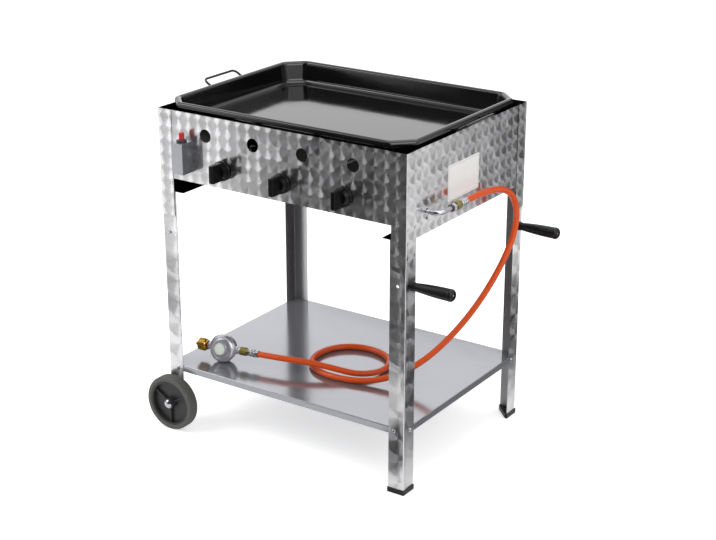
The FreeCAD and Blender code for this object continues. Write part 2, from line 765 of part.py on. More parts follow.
def burner(x):
    """A tube burner: flared air mouth, narrow throat, slotted tube and a flat tail."""
    throat = 10.0
    wall = BURNER_SHEET
    profile = [
        (BURNER_MOUTH, 13),
        (BURNER_MOUTH + 14, throat, (BURNER_MOUTH + 5, 10.8)),
        (BURNER_FRONT - 8, throat),
        (BURNER_FRONT + 8, BURNER_RADIUS - wall),
        (BURNER_END - wall, BURNER_RADIUS - wall),
        (BURNER_END - wall, 0),
        (BURNER_END, 0),
        (BURNER_END, BURNER_RADIUS),
        (BURNER_FRONT + 8, BURNER_RADIUS),
        (BURNER_FRONT - 8, throat + wall),
        (BURNER_MOUTH + 14, throat + wall),
        (BURNER_MOUTH, 13 + wall, (BURNER_MOUTH + 5, 10.8 + wall)),
    ]
    tube = turned(profile, vec(x, 0, TAP_Z), Y_AXIS, X_AXIS)
    half = TAIL_THICKNESS / 2
    tail = box((x - 12, BURNER_END, TAP_Z - half), (x + 12, BURNER_TAIL, TAP_Z + half))
    tube = joined([tube, tail])
    first = BURNER_FRONT + 28
    for index in range(BURNER_PORTS):
        y = first + index * PORT_PITCH
        top = TAP_Z + BURNER_RADIUS
        port = box((x - 11, y, top - 4), (x + 11, y + PORT_WIDTH, top + 1))
        tube = tube.cut(port)
    return tube


RAIL_SHEET = 1.5
RAIL_DROP = 24.0
RAIL_FLANGE = 26.0
FRONT_RAIL_Y = -142.0
MIDDLE_RAIL_Y = 75.0
MIDDLE_RAIL_DROP = 57.0


def burner_rails():
    """Three cross angles: two under the burners, the second with a deep web, and one that carries their tails."""
    top = TAP_Z - BURNER_RADIUS
    half = PANEL_HALF_W
    seat = box((-half, FRONT_RAIL_Y, top - RAIL_SHEET), (half, FRONT_RAIL_Y + RAIL_FLANGE, top))
    web = box((-half, FRONT_RAIL_Y, top - RAIL_DROP), (half, FRONT_RAIL_Y + RAIL_SHEET, top))
    upright = rod((ELECTRODE_X, ELECTRODE_Y, top - 5), (ELECTRODE_X, ELECTRODE_Y, top + 5), LEAD_HOLE)
    low = top - LEAD_DROP
    level = rod((ELECTRODE_X, FRONT_RAIL_Y - 5, low), (ELECTRODE_X, FRONT_RAIL_Y + 5, low), LEAD_HOLE)
    front = joined([seat, web]).cut(upright).cut(level)
    seat = box((-half, MIDDLE_RAIL_Y, top - RAIL_SHEET), (half, MIDDLE_RAIL_Y + RAIL_FLANGE, top))
    web = box((-half, MIDDLE_RAIL_Y, top - MIDDLE_RAIL_DROP), (half, MIDDLE_RAIL_Y + RAIL_SHEET, top))
    middle = joined([seat, web])
    rear_top = TAP_Z - TAIL_THICKNESS / 2
    rear_wall = HALF_D - 2 * SHEET
    half = HALF_W - POST_FLANGE
    ledge = box((-half, rear_wall - RAIL_FLANGE, rear_top - RAIL_SHEET), (half, rear_wall, rear_top))
    back = box((-half, rear_wall - RAIL_SHEET, rear_top - RAIL_DROP), (half, rear_wall, rear_top))
    return Part.makeCompound([front, middle, joined([ledge, back])])


# Igniter

BUTTON_X = IGNITER_RIGHT - IGNITER_WIDTH / 2
BUTTON_Y = FRONT_FACE - IGNITER_REACH / 2
IGNITER_TOP = BOX_TOP - IGNITER_DROP
COLLAR_HEIGHT = 5.0
COLLAR_RADIUS = 11.5
IGNITER_RADIUS = 8.5
IGNITER_BOTTOM = IGNITER_TOP - 45.0
LEAD_Z = IGNITER_TOP - IGNITER_HEIGHT + 12.0
LEAD_RADIUS = 2.0
LEAD_DROP = 12.0
ELECTRODE_X = TAP_X[0] - 24.0
ELECTRODE_Y = FRONT_RAIL_Y + 14.0
BUTTON_DEPTH = 13.0


def igniter_housing():
    left = IGNITER_RIGHT - IGNITER_WIDTH
    front = FRONT_FACE - IGNITER_REACH
    low = IGNITER_TOP - IGNITER_HEIGHT
    shell = box((left, front, low), (IGNITER_RIGHT, FRONT_FACE, IGNITER_TOP))
    far = (IGNITER_RIGHT - SHEET, FRONT_FACE, IGNITER_TOP - SHEET)
    hollow = box((left + SHEET, front + SHEET, low + SHEET), far)
    nose = rod((BUTTON_X, BUTTON_Y, IGNITER_TOP - 3), (BUTTON_X, BUTTON_Y, IGNITER_TOP + 3), IGNITER_RADIUS)
    return shell.cut(hollow).cut(nose)


def igniter_body():
    bore = BUTTON_RADIUS + RUNNING_GAP
    top = IGNITER_TOP + COLLAR_HEIGHT
    profile = [
        (IGNITER_BOTTOM, 0),
        (IGNITER_BOTTOM, IGNITER_RADIUS),
        (IGNITER_TOP, IGNITER_RADIUS),
        (IGNITER_TOP, COLLAR_RADIUS),
        (top - 1.5, COLLAR_RADIUS),
        (top, COLLAR_RADIUS - 2),
        (top, bore),
        (top - BUTTON_DEPTH - BUTTON_TRAVEL - 1, bore),
        (top - BUTTON_DEPTH - BUTTON_TRAVEL - 1, 0),
    ]
    return turned(profile, vec(BUTTON_X, BUTTON_Y, 0), Z_AXIS, X_AXIS)


def igniter_button():
    base = IGNITER_TOP + COLLAR_HEIGHT
    profile = [
        (-BUTTON_DEPTH, 0),
        (-BUTTON_DEPTH, BUTTON_RADIUS),
        (BUTTON_RISE - 2, BUTTON_RADIUS),
        dome_step(BUTTON_RISE - 2, BUTTON_RADIUS, 2),
    ]
    return turned(profile, vec(BUTTON_X, BUTTON_Y, base), Z_AXIS, X_AXIS)


def electrode():
    low = TAP_Z - BURNER_RADIUS
    ceramic = rod((ELECTRODE_X, ELECTRODE_Y, low), (ELECTRODE_X, ELECTRODE_Y, low + 30), 3.5)
    foot = rod((ELECTRODE_X, ELECTRODE_Y, low), (ELECTRODE_X, ELECTRODE_Y, low + 4), 6)
    points = [
        (ELECTRODE_X, ELECTRODE_Y, low + 28),
        (ELECTRODE_X, ELECTRODE_Y, low + 38),
        (ELECTRODE_X + 15, ELECTRODE_Y, low + 40),
    ]
    tip = bent_rod(points, 1.0, 4)
    return joined([ceramic, foot, tip])


def ignition_lead():
    low = TAP_Z - BURNER_RADIUS
    points = [
        (BUTTON_X, BUTTON_Y, IGNITER_BOTTOM),
        (BUTTON_X, BUTTON_Y, LEAD_Z),
        (BUTTON_X, -215, LEAD_Z),
        (ELECTRODE_X, -180, low - LEAD_DROP),
        (ELECTRODE_X, ELECTRODE_Y, low - LEAD_DROP),
        (ELECTRODE_X, ELECTRODE_Y, low),
    ]
    return bent_rod(points, LEAD_RADIUS, 8)


# Hose and regulator

UNION_Y = INLET_Y + 45.0
UNION_LENGTH = 13.0
INLET_NUT_Y = UNION_Y + UNION_LENGTH
INLET_FERRULE_Y = INLET_NUT_Y + NUT_LENGTH
HOSE_START_Y = INLET_FERRULE_Y + FERRULE_LENGTH

# The regulator stands on its rim on the shelf and leans back on its bowl, with its face to the front and the
# right. Its pipe axis is level, from the bottle nut through the middle to the hose.
REGULATOR = vec(-224, -170, SHELF_TOP + SHELF_CLEARANCE + REGULATOR_SEAT)
TURN = math.radians(REGULATOR_TURN)
LEAN = math.radians(REGULATOR_LEAN)
OUTWARD = vec(math.cos(TURN), math.sin(TURN), 0)
FACE = vec(math.sin(TURN) * math.cos(LEAN), -math.cos(TURN) * math.cos(LEAN), math.sin(LEAN))
BACK_MIDDLE = REGULATOR - FACE * PIPE_DEPTH
OUTLET_END = REGULATOR_RADIUS + 11.0
OUTLET_NUT_END = OUTLET_END + NUT_LENGTH
HOSE_END = OUTLET_NUT_END + FERRULE_LENGTH
LAST_RUN = 44.0
HOSE_REST_Z = SHELF_TOP + HOSE_RADIUS + SHELF_CLEARANCE

# The hose runs from the inlet along the side towards the back, turns down there, hangs forward over the right
# edge of the shelf, makes one loop on it and crosses over itself to the regulator.
HOSE_ROUTE = [
    (INLET_X, HOSE_START_Y, GAS_Z),
    (INLET_X, -14, GAS_Z),
    (359, 42, 622),
    (363, 92, 611),
    (366, 129, 583),
    (366, 146, 539),
    (363, 139, 491),
    (355, 113, 441),
    (338, 82, 384),
    (311, 50, 323),
    (276, 15, 265),
    (236, -24, 215),
    (191, -62, 182),
    (140, -95, HOSE_REST_Z + 3),
    (82, -115, HOSE_REST_Z),
    (22, -118, HOSE_REST_Z),
    (-28, -95, HOSE_REST_Z),
    (-55, -49, HOSE_REST_Z),
    (-53, 4, HOSE_REST_Z),
    (-22, 47, HOSE_REST_Z),
    (28, 64, HOSE_REST_Z),
    (84, 53, HOSE_REST_Z),
    (121, 13, HOSE_REST_Z),
    (125, -41, HOSE_REST_Z + 1),
    (96, -87, HOSE_REST_Z + 6),
    (45, -104, HOSE_REST_Z + 14),
    (-6, -120, HOSE_REST_Z + 21),
    (-48, -135, HOSE_REST_Z + 23.5),
    tuple(REGULATOR + OUTWARD * (HOSE_END + LAST_RUN)),
    tuple(REGULATOR + OUTWARD * HOSE_END),
]


def gas_hose():
    """The hose as straight runs and arcs as large as the runs allow; prints its bends, length and volume."""
    places = [vec(*point) for point in HOSE_ROUTE]
    radii = [0.0]
    for index in range(1, len(places) - 1):
        back = places[index - 1] - places[index]
        ahead = places[index + 1] - places[index]
        half_turn = (math.pi - back.getAngle(ahead)) / 2
        radii.append(0.45 * min(back.Length, ahead.Length) / math.tan(half_turn))
    radii.append(0.0)
    path = Part.Wire(run_edges(places, radii, False))
    ring = Part.Wire(Part.makeCircle(HOSE_RADIUS, places[0], places[1] - places[0]))
    hose = path.makePipeShell([ring], True, True)
    by_volume = hose.Volume / (math.pi * HOSE_RADIUS ** 2)
    print("hose bend radii, mm:", [round(radius) for radius in radii[1:-1]])
    print("hose length, mm:", round(path.Length, 1), "volume over section, mm:", round(by_volume, 1))
    return hose


def inlet_union():
    body = hexagon((INLET_X, UNION_Y, GAS_Z), (INLET_X, INLET_NUT_Y - 3, GAS_Z), UNION_FLATS)
    neck = rod((INLET_X, INLET_NUT_Y - 3, GAS_Z), (INLET_X, INLET_NUT_Y, GAS_Z), 0.42 * UNION_FLATS)
    return joined([body, neck])


def hose_nut(start, end):
    along = (vec(*end) - vec(*start)).normalize()
    flats = hexagon(start, end, NUT_FLATS)
    corner = NUT_FLATS / math.sqrt(3)
    length = (vec(*end) - vec(*start)).Length
    profile = [
        (0, 0),
        (0, corner - 1.2),
        (1.4, corner + 0.2),
        (0.62 * length, corner + 0.2),
        (0.72 * length, 0.42 * NUT_FLATS),
        (length, 0.42 * NUT_FLATS),
        (length, 0),
    ]
    return flats.common(turned(profile, vec(*start), along, Z_AXIS))


def hose_nuts():
    inlet = hose_nut((INLET_X, INLET_NUT_Y, GAS_Z), (INLET_X, INLET_FERRULE_Y, GAS_Z))
    outlet = hose_nut(REGULATOR + OUTWARD * OUTLET_END, REGULATOR + OUTWARD * OUTLET_NUT_END)
    return Part.makeCompound([inlet, outlet])


def ferrule(start, along):
    """A crimped sleeve: a collar at the nut, then two pressed waists."""
    profile = [(0, 0), (0, FERRULE_RADIUS - 1), (1, FERRULE_RADIUS)]
    for place in (6, 14):
        profile.append((place, FERRULE_RADIUS))
        profile.append((place + 4, FERRULE_RADIUS, (place + 2, FERRULE_RADIUS - 1)))
    profile += [(FERRULE_LENGTH, FERRULE_RADIUS), (FERRULE_LENGTH, 0)]
    return turned(profile, vec(*start), along, Z_AXIS)


def hose_ferrules():
    inlet = ferrule((INLET_X, INLET_FERRULE_Y, GAS_Z), Y_AXIS)
    outlet = ferrule(REGULATOR + OUTWARD * OUTLET_NUT_END, OUTWARD)
    return Part.makeCompound([inlet, outlet])


SEAM_HEIGHT = 27.0
INLET_BOSS = REGULATOR_RADIUS + 6.0
BOSS_RADIUS = 8.8


def regulator_body():
    """The cast back half: a bowl with a flange at the seam and a boss for the pipe on either side."""
    profile = [
        (0, 0),
        (0, 19),
        (14, REGULATOR_RADIUS - 3, (4, 27)),
        (SEAM_HEIGHT - 5, REGULATOR_RADIUS - 3),
        (SEAM_HEIGHT - 5, REGULATOR_RADIUS),
        (SEAM_HEIGHT, REGULATOR_RADIUS),
        (SEAM_HEIGHT, 0),
    ]
    bowl = turned(profile, BACK_MIDDLE, FACE, OUTWARD)
    outlet = rod(REGULATOR, REGULATOR + OUTWARD * OUTLET_END, 7)
    collar = rod(REGULATOR, REGULATOR + OUTWARD * (OUTLET_END - 7), BOSS_RADIUS)
    inlet = rod(REGULATOR, REGULATOR - OUTWARD * INLET_BOSS, BOSS_RADIUS)
    return joined([bowl, outlet, collar, inlet])


def regulator_cover():
    """The domed diaphragm cover with its raised round cap; the cap's face is plain."""
    profile = [
        (SEAM_HEIGHT, 0),
        (SEAM_HEIGHT, REGULATOR_RADIUS),
        (SEAM_HEIGHT + 2, REGULATOR_RADIUS - 1),
        (SEAM_HEIGHT + 11, 18, (SEAM_HEIGHT + 8, 27)),
        (SEAM_HEIGHT + 11, 17),
        (SEAM_HEIGHT + 14, 16.5),
        (SEAM_HEIGHT + 14.6, 15.5),
        (SEAM_HEIGHT + 14.6, 0),
    ]
    return turned(profile, BACK_MIDDLE, FACE, OUTWARD)


SPIGOT_RADIUS = 6.0
BOTTLE_NUT_START = INLET_BOSS + 3.0
BOTTLE_NUT_LENGTH = 22.0
NOSE_RADIUS = 4.5
NOSE_END = BOTTLE_NUT_START + BOTTLE_NUT_LENGTH + 9.0


def bottle_spigot():
    """The tail that enters the bottle valve: neck, flange that holds the nut, and nose."""
    flange = BOTTLE_NUT_START + 7
    mouth = BOTTLE_NUT_START + BOTTLE_NUT_LENGTH + 0.5
    profile = [
        (INLET_BOSS, 0),
        (INLET_BOSS, SPIGOT_RADIUS),
        (flange, SPIGOT_RADIUS),
        (flange, SPIGOT_RADIUS + 2.5),
        (flange + 3, SPIGOT_RADIUS + 2.5),
        (flange + 5, NOSE_RADIUS + 1),
        (mouth, NOSE_RADIUS + 1),
        (mouth, NOSE_RADIUS),
        (NOSE_END - 1, NOSE_RADIUS),
        (NOSE_END, NOSE_RADIUS - 1),
        (NOSE_END, 0),
    ]
    return turned(profile, REGULATOR, -OUTWARD, Z_AXIS)


def bottle_nut():
    """The brass hand nut: a ring with six finger lobes, free to spin behind the spigot's flange."""
    bore = SPIGOT_RADIUS + RUNNING_GAP
    room = SPIGOT_RADIUS + 4.0
    wall = BOTTLE_NUT_START + 6.0
    far = BOTTLE_NUT_START + BOTTLE_NUT_LENGTH
    profile = [
        (BOTTLE_NUT_START, bore),
        (BOTTLE_NUT_START, 0.7 * BOTTLE_NUT_RADIUS),
        (BOTTLE_NUT_START + 3, 0.72 * BOTTLE_NUT_RADIUS),
        (wall, 0.86 * BOTTLE_NUT_RADIUS),
        (far, 0.86 * BOTTLE_NUT_RADIUS),
        (far, room),
        (wall, room),
        (wall, bore),
    ]
    pieces = [turned(profile, REGULATOR, -OUTWARD, Z_AXIS)]
    lobe = 4.2
    spoke = Z_AXIS * (BOTTLE_NUT_RADIUS - lobe)
    sixth = FreeCAD.Rotation(OUTWARD, 60)
    for _ in range(6):
        axis = REGULATOR + spoke
        pieces.append(rod(axis - OUTWARD * (wall + 1), axis - OUTWARD * (far - 2), lobe))
        spoke = sixth.multVec(spoke)
    hollow = rod(REGULATOR - OUTWARD * wall, REGULATOR - OUTWARD * (far + 1), room)
    return joined(pieces).cut(hollow)


def write(name, shape):
    placed = shape.copy()
    placed.translate(FRAME_SHIFT)
    if not placed.isValid() or min(solid.Volume for solid in placed.Solids) <= 0:
        print("not sound:", name)
    placed.exportStep(os.path.join("parts", name + ".step"))


def main():
    os.makedirs("parts", exist_ok=True)
    for side_x, side_y in corners():
        place = ("front" if side_y < 0 else "rear") + "_" + ("left" if side_x < 0 else "right")
        write("leg_" + place, leg(side_x, side_y))
        write("post_" + place, post(side_x, side_y))
    for side_y, place in ((-1, "front"), (1, "rear")):
        write("handle_" + place, grip(side_y))
        write("wheel_" + place + "_hub", wheel_hub(side_y))
        write("wheel_" + place + "_tyre", wheel_tyre(side_y))
    write("shelf", shelf())
    write("shelf_screws", shelf_screws())
    write("handle_bolts", Part.makeCompound([grip_bolt(-1), grip_bolt(1), grip_nut(-1), grip_nut(1)]))
    write("foot_caps", Part.makeCompound([foot_cap(-1), foot_cap(1)]))
    write("axle_bolts", Part.makeCompound([axle_bolt(-1), axle_bolt(1), axle_nut(-1), axle_nut(1)]))
    write("wheel_caps", Part.makeCompound([wheel_cap(-1), wheel_cap(1)]))
    write("front_panel", front_panel())
    write("rear_panel", lipped_panel(1))
    write("side_panel_left", side_panel(-1))
    write("side_panel_right", side_panel(1))
    write("pan_rails", Part.makeCompound([pan_rail(-1), pan_rail(1)]))
    write("burner_rails", burner_rails())
    pan_body = pan()
    write("pan", pan_body)
    write("pan_handle_left", pan_handle(-1, pan_body))
    write("pan_handle_right", pan_handle(1, pan_body))
    write("manifold", manifold())
    write("inlet_pipe", inlet_pipe())
    write("inlet_union", inlet_union())
    write("injectors", injectors())
    for name, x in zip(TAP_NAMES, TAP_X):
        write("tap_body_" + name, tap_body(x))
        write("tap_plug_" + name, tap_plug(x))
        write("spindle_" + name, spindle(x))
        write("knob_" + name, knob(x))
        write("burner_" + name, burner(x))
    write("igniter_housing", igniter_housing())
    write("igniter_body", igniter_body())
    write("igniter_button", igniter_button())
    write("electrode", electrode())
    write("ignition_lead", ignition_lead())
    write("gas_hose", gas_hose())
    write("hose_nuts", hose_nuts())
    write("hose_ferrules", hose_ferrules())
    write("regulator_body", regulator_body())
    write("regulator_cover", regulator_cover())
    write("bottle_spigot", bottle_spigot())
    write("bottle_nut", bottle_nut())


main()
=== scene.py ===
import bpy
import bmesh
import math
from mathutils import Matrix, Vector


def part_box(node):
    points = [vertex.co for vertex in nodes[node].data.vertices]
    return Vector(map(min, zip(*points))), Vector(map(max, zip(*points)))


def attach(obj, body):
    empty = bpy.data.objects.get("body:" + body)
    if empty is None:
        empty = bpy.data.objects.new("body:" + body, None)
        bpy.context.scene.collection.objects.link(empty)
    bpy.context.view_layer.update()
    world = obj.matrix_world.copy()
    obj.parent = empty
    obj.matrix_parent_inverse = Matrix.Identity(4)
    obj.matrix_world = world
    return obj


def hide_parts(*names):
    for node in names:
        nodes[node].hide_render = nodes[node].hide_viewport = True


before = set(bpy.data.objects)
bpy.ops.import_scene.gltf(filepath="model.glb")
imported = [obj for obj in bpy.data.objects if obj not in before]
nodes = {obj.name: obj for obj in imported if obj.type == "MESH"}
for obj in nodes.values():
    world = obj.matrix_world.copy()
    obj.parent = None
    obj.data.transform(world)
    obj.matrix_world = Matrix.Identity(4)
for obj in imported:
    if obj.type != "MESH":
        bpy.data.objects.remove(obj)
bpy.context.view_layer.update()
print("frame loaded,", len(nodes), "CAD nodes")

boxMiddle = Vector((-0.0295, 0.0048, 0))   # the griddle box's middle, on the floor
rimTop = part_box("pan")[1].z


def fromMiddle(x, y, z):   # millimetres from the box's middle to metres in the frame
    return Vector((x / 1000, y / 1000, z / 1000)) + boxMiddle


def hexColour(code):
    parts = [int(code[i:i + 2], 16) / 255 for i in (1, 3, 5)]
    linear = [p / 12.92 if p <= 0.04045 else ((p + 0.055) / 1.055) ** 2.4 for p in parts]
    return (*linear, 1.0)


def addNode(tree, kind, inputs=None, **settings):   # a list goes to a socket that takes several links
    node = tree.nodes.new(kind)
    for name, value in settings.items():
        setattr(node, name, value)
    for key, value in (inputs or {}).items():
        if isinstance(value, list):
            for source in value:
                tree.links.new(source, node.inputs[key])
        elif isinstance(value, bpy.types.NodeSocket):
            tree.links.new(value, node.inputs[key])
        else:
            node.inputs[key].default_value = value
    return node


def newMaterial(name):
    material = bpy.data.materials.new(name)
    material.use_nodes = True
    tree = material.node_tree
    return material, tree, tree.nodes["Principled BSDF"]


def meshPiece(name, bm, material, creaseAngle=35):
    bmesh.ops.remove_doubles(bm, verts=bm.verts, dist=1e-7)
    bmesh.ops.recalc_face_normals(bm, faces=bm.faces)
    mesh = bpy.data.meshes.new(name)
    bm.to_mesh(mesh)
    bm.free()
    return finishedPiece(name, mesh, material, creaseAngle)


def finishedPiece(name, mesh, material, creaseAngle=35):   # smooth, but sharp past the angle
    for polygon in mesh.polygons:
        polygon.use_smooth = True
    mesh.set_sharp_from_angle(angle=math.radians(creaseAngle))
    mesh.materials.clear()
    mesh.materials.append(material)
    piece = bpy.data.objects.new(name, mesh)
    bpy.context.scene.collection.objects.link(piece)
    return piece


def roundedCorner(before, here, after, radius, steps):   # the points of one rounded corner of a flat line
    back, ahead = (before - here).normalized(), (after - here).normalized()
    halfTurn = (math.pi - back.angle(ahead)) / 2
    if radius < 1e-9 or halfTurn < 1e-3:
        return [here]
    reach = min(radius * math.tan(halfTurn), 0.49 * min((before - here).length, (after - here).length))
    radius = reach / math.tan(halfTurn)
    centre = here + (back + ahead).normalized() * (radius / math.cos(halfTurn))
    spokes = [here + back * reach - centre, here + ahead * reach - centre]
    first, last = (math.atan2(s.y, s.x) for s in spokes)
    turn = (last - first + math.pi) % (2 * math.pi) - math.pi
    angles = [first + turn * k / steps for k in range(steps + 1)]
    return [centre + Vector((math.cos(a), math.sin(a))) * radius for a in angles]


def roundedLine(points, radii, steps):   # an open line; a radius of 0 keeps a corner
    places = [Vector(p) for p in points]
    line = [places[0]]
    for i in range(1, len(places) - 1):
        line += roundedCorner(places[i - 1], places[i], places[i + 1], radii[i], steps)
    return line + [places[-1]]


def roundedLoop(points, radius, steps):
    places = [Vector(p) for p in points]
    loop = []
    for i in range(len(places)):
        loop += roundedCorner(places[i - 1], places[i], places[(i + 1) % len(places)], radius, steps)
    return loop


def skin(bm, rings, closed=False):   # quads between rings with the same number of points
    layers = [[bm.verts.new(p) for p in ring] for ring in rings]
    pairs = list(zip(layers, layers[1:])) + ([(layers[-1], layers[0])] if closed else [])
    for low, high in pairs:
        for i in range(len(low)):
            j = (i + 1) % len(low)
            bm.faces.new((low[i], low[j], high[j], high[i]))
    return layers


noiseLow, noiseHigh = 0.3, 0.7   # where a noise texture mostly lies


def objectPoint(tree):
    return addNode(tree, "ShaderNodeTexCoord").outputs["Object"]


def spotPolishedStainless(name, look):
    # Stainless sheet, engine turned: a rotating pad leaves overlapping round spots, laid column by column.
    # Their circular scratches blur what they mirror along the spokes of the spot, so each shows a bright or
    # dark fan. The inside of the sheet stays plain. The scratches are drawn further apart than real ones.
    material, tree, shader = newMaterial(name)
    point = objectPoint(tree)
    place = addNode(tree, "ShaderNodeSeparateXYZ", {0: point}).outputs
    normal = addNode(tree, "ShaderNodeNewGeometry").outputs["Normal"]

    # faces that look along X have their columns along Y, and the others along X
    facing = addNode(tree, "ShaderNodeVectorMath", {0: normal}, operation="ABSOLUTE").outputs[0]
    facingX = addNode(tree, "ShaderNodeSeparateXYZ", {0: facing}).outputs[0]
    sideways = addNode(tree, "ShaderNodeMath", {0: facingX, 1: 0.6}, operation="GREATER_THAN").outputs[0]
    across = addNode(tree, "ShaderNodeMix", {0: sideways, 2: place[0], 3: place[1]}).outputs[0]
    columns = addNode(tree, "ShaderNodeMath", {0: across, 1: 1000 / look["columnMm"]},
                      operation="MULTIPLY").outputs[0]
    rows = addNode(tree, "ShaderNodeMath", {0: place[2], 1: 1000 / look["rowMm"]},
                   operation="MULTIPLY").outputs[0]
    firstColumn = addNode(tree, "ShaderNodeMath", {0: columns}, operation="FLOOR").outputs[0]

    # of the four spots that can cover a point, the one ground last lies on top
    offset, spot = None, None
    for nextColumn in (0, 1):
        column = addNode(tree, "ShaderNodeMath", {0: firstColumn, 1: nextColumn}, operation="ADD").outputs[0]
        aside = addNode(tree, "ShaderNodeMath", {0: columns, 1: column}, operation="SUBTRACT").outputs[0]
        aside = addNode(tree, "ShaderNodeMath", {0: aside, 1: look["columnMm"]},
                        operation="MULTIPLY").outputs[0]
        odd = addNode(tree, "ShaderNodeMath", {0: column, 1: 2.0}, operation="FLOORED_MODULO").outputs[0]
        shifted = addNode(tree, "ShaderNodeMath", {0: odd, 1: look["stagger"], 2: rows},
                          operation="MULTIPLY_ADD").outputs[0]
        firstRow = addNode(tree, "ShaderNodeMath", {0: shifted}, operation="FLOOR").outputs[0]
        for nextRow in (0, 1):
            row = addNode(tree, "ShaderNodeMath", {0: firstRow, 1: nextRow}, operation="ADD").outputs[0]
            above = addNode(tree, "ShaderNodeMath", {0: shifted, 1: row}, operation="SUBTRACT").outputs[0]
            above = addNode(tree, "ShaderNodeMath", {0: above, 1: look["rowMm"]},
                            operation="MULTIPLY").outputs[0]
            here = addNode(tree, "ShaderNodeCombineXYZ", {0: aside, 1: above}).outputs[0]
            number = addNode(tree, "ShaderNodeCombineXYZ", {0: column, 1: row}).outputs[0]
            if offset is None:
                offset, spot = here, number
                continue
            reach = addNode(tree, "ShaderNodeVectorMath", {0: here}, operation="LENGTH").outputs["Value"]
            covers = addNode(tree, "ShaderNodeMath", {0: reach, 1: look["spotMm"] / 2},
                             operation="LESS_THAN").outputs[0]
            offset = addNode(tree, "ShaderNodeMix", {0: covers, 4: offset, 5: here},
                             data_type="VECTOR").outputs[1]
            spot = addNode(tree, "ShaderNodeMix", {0: covers, 4: spot, 5: number},
                           data_type="VECTOR").outputs[1]
    chance = addNode(tree, "ShaderNodeTexWhiteNoise", {"Vector": spot}, noise_dimensions="3D").outputs

    # the offset from the spot's centre as a direction in the sheet
    flat = addNode(tree, "ShaderNodeSeparateXYZ", {0: offset}).outputs
    onFront = addNode(tree, "ShaderNodeCombineXYZ", {0: flat[0], 2: flat[1]}).outputs[0]
    onSide = addNode(tree, "ShaderNodeCombineXYZ", {1: flat[0], 2: flat[1]}).outputs[0]
    spoke = addNode(tree, "ShaderNodeMix", {0: sideways, 4: onFront, 5: onSide},
                    data_type="VECTOR").outputs[1]

    # only faces turned away from the box's middle are polished; the rest is drawn out upwards by rolling
    middle = (boxMiddle.x, boxMiddle.y, 0)
    away = addNode(tree, "ShaderNodeVectorMath", {0: point, 1: middle}, operation="SUBTRACT").outputs[0]
    away = addNode(tree, "ShaderNodeVectorMath", {0: away, 1: (1, 1, 0)}, operation="MULTIPLY").outputs[0]
    out = addNode(tree, "ShaderNodeVectorMath", {0: away, 1: normal},
                  operation="DOT_PRODUCT").outputs["Value"]
    outer = addNode(tree, "ShaderNodeMath", {0: out, 1: 0.01}, operation="GREATER_THAN").outputs[0]
    blurred = addNode(tree, "ShaderNodeMix", {0: outer, 4: (0, 0, 1), 5: spoke},
                      data_type="VECTOR").outputs[1]
    tree.links.new(blurred, shader.inputs["Tangent"])
    shader.inputs["Anisotropic"].default_value = look["anisotropy"]

    # the flats between the scratches still mirror sharply
    flats = addNode(tree, "ShaderNodeMath", {0: outer, 1: look["mirror"]}, operation="MULTIPLY").outputs[0]
    tree.links.new(flats, shader.inputs["Coat Weight"])
    shader.inputs["Coat Roughness"].default_value = look["mirrorRough"]
    shader.inputs["Coat IOR"].default_value = look["mirrorIor"]

    # each spot is a shallow dish, tipped a little its own way
    slope, tip = -look["dishSlope"], look["spotTip"]
    dish = addNode(tree, "ShaderNodeVectorMath", {0: spoke, 1: (slope, slope, slope), 2: normal},
                   operation="MULTIPLY_ADD").outputs[0]
    lean = addNode(tree, "ShaderNodeVectorMath", {0: chance["Color"], 1: (tip, tip, tip), 2: (-tip / 2,) * 3},
                   operation="MULTIPLY_ADD").outputs[0]
    dish = addNode(tree, "ShaderNodeVectorMath", {0: dish, 1: lean}, operation="ADD").outputs[0]
    bent = addNode(tree, "ShaderNodeMix", {0: outer, 4: normal, 5: dish}, data_type="VECTOR").outputs[1]
    bent = addNode(tree, "ShaderNodeVectorMath", {0: bent}, operation="NORMALIZE").outputs[0]
    tree.links.new(bent, shader.inputs["Normal"])

    colour = addNode(tree, "ShaderNodeMix",
                     {0: chance["Value"], 6: hexColour(look["steel"]), 7: hexColour(look["shade"])},
                     data_type="RGBA").outputs[2]
    # inside faces take the inside colour: on the box this is partly smoke tint and partly painted shade
    colour = addNode(tree, "ShaderNodeMix", {0: outer, 6: hexColour(look["inside"]), 7: colour},
                     data_type="RGBA").outputs[2]
    tree.links.new(colour, shader.inputs["Base Color"])
    wavePeriod = 0.314   # from ring to ring of a wave texture at a scale of 1
    rings = addNode(tree, "ShaderNodeTexWave", {"Vector": offset, "Scale": wavePeriod / look["scratchMm"]},
                    wave_type="RINGS", rings_direction="SPHERICAL").outputs["Fac"]
    rough = addNode(tree, "ShaderNodeMath", {0: rings, 1: look["rings"], 2: look["roughness"]},
                    operation="MULTIPLY_ADD").outputs[0]
    rough = addNode(tree, "ShaderNodeMix", {0: outer, 2: look["insideRough"], 3: rough}).outputs[0]
    tree.links.new(rough, shader.inputs["Roughness"])
    shader.inputs["Metallic"].default_value = 1.0
    return material


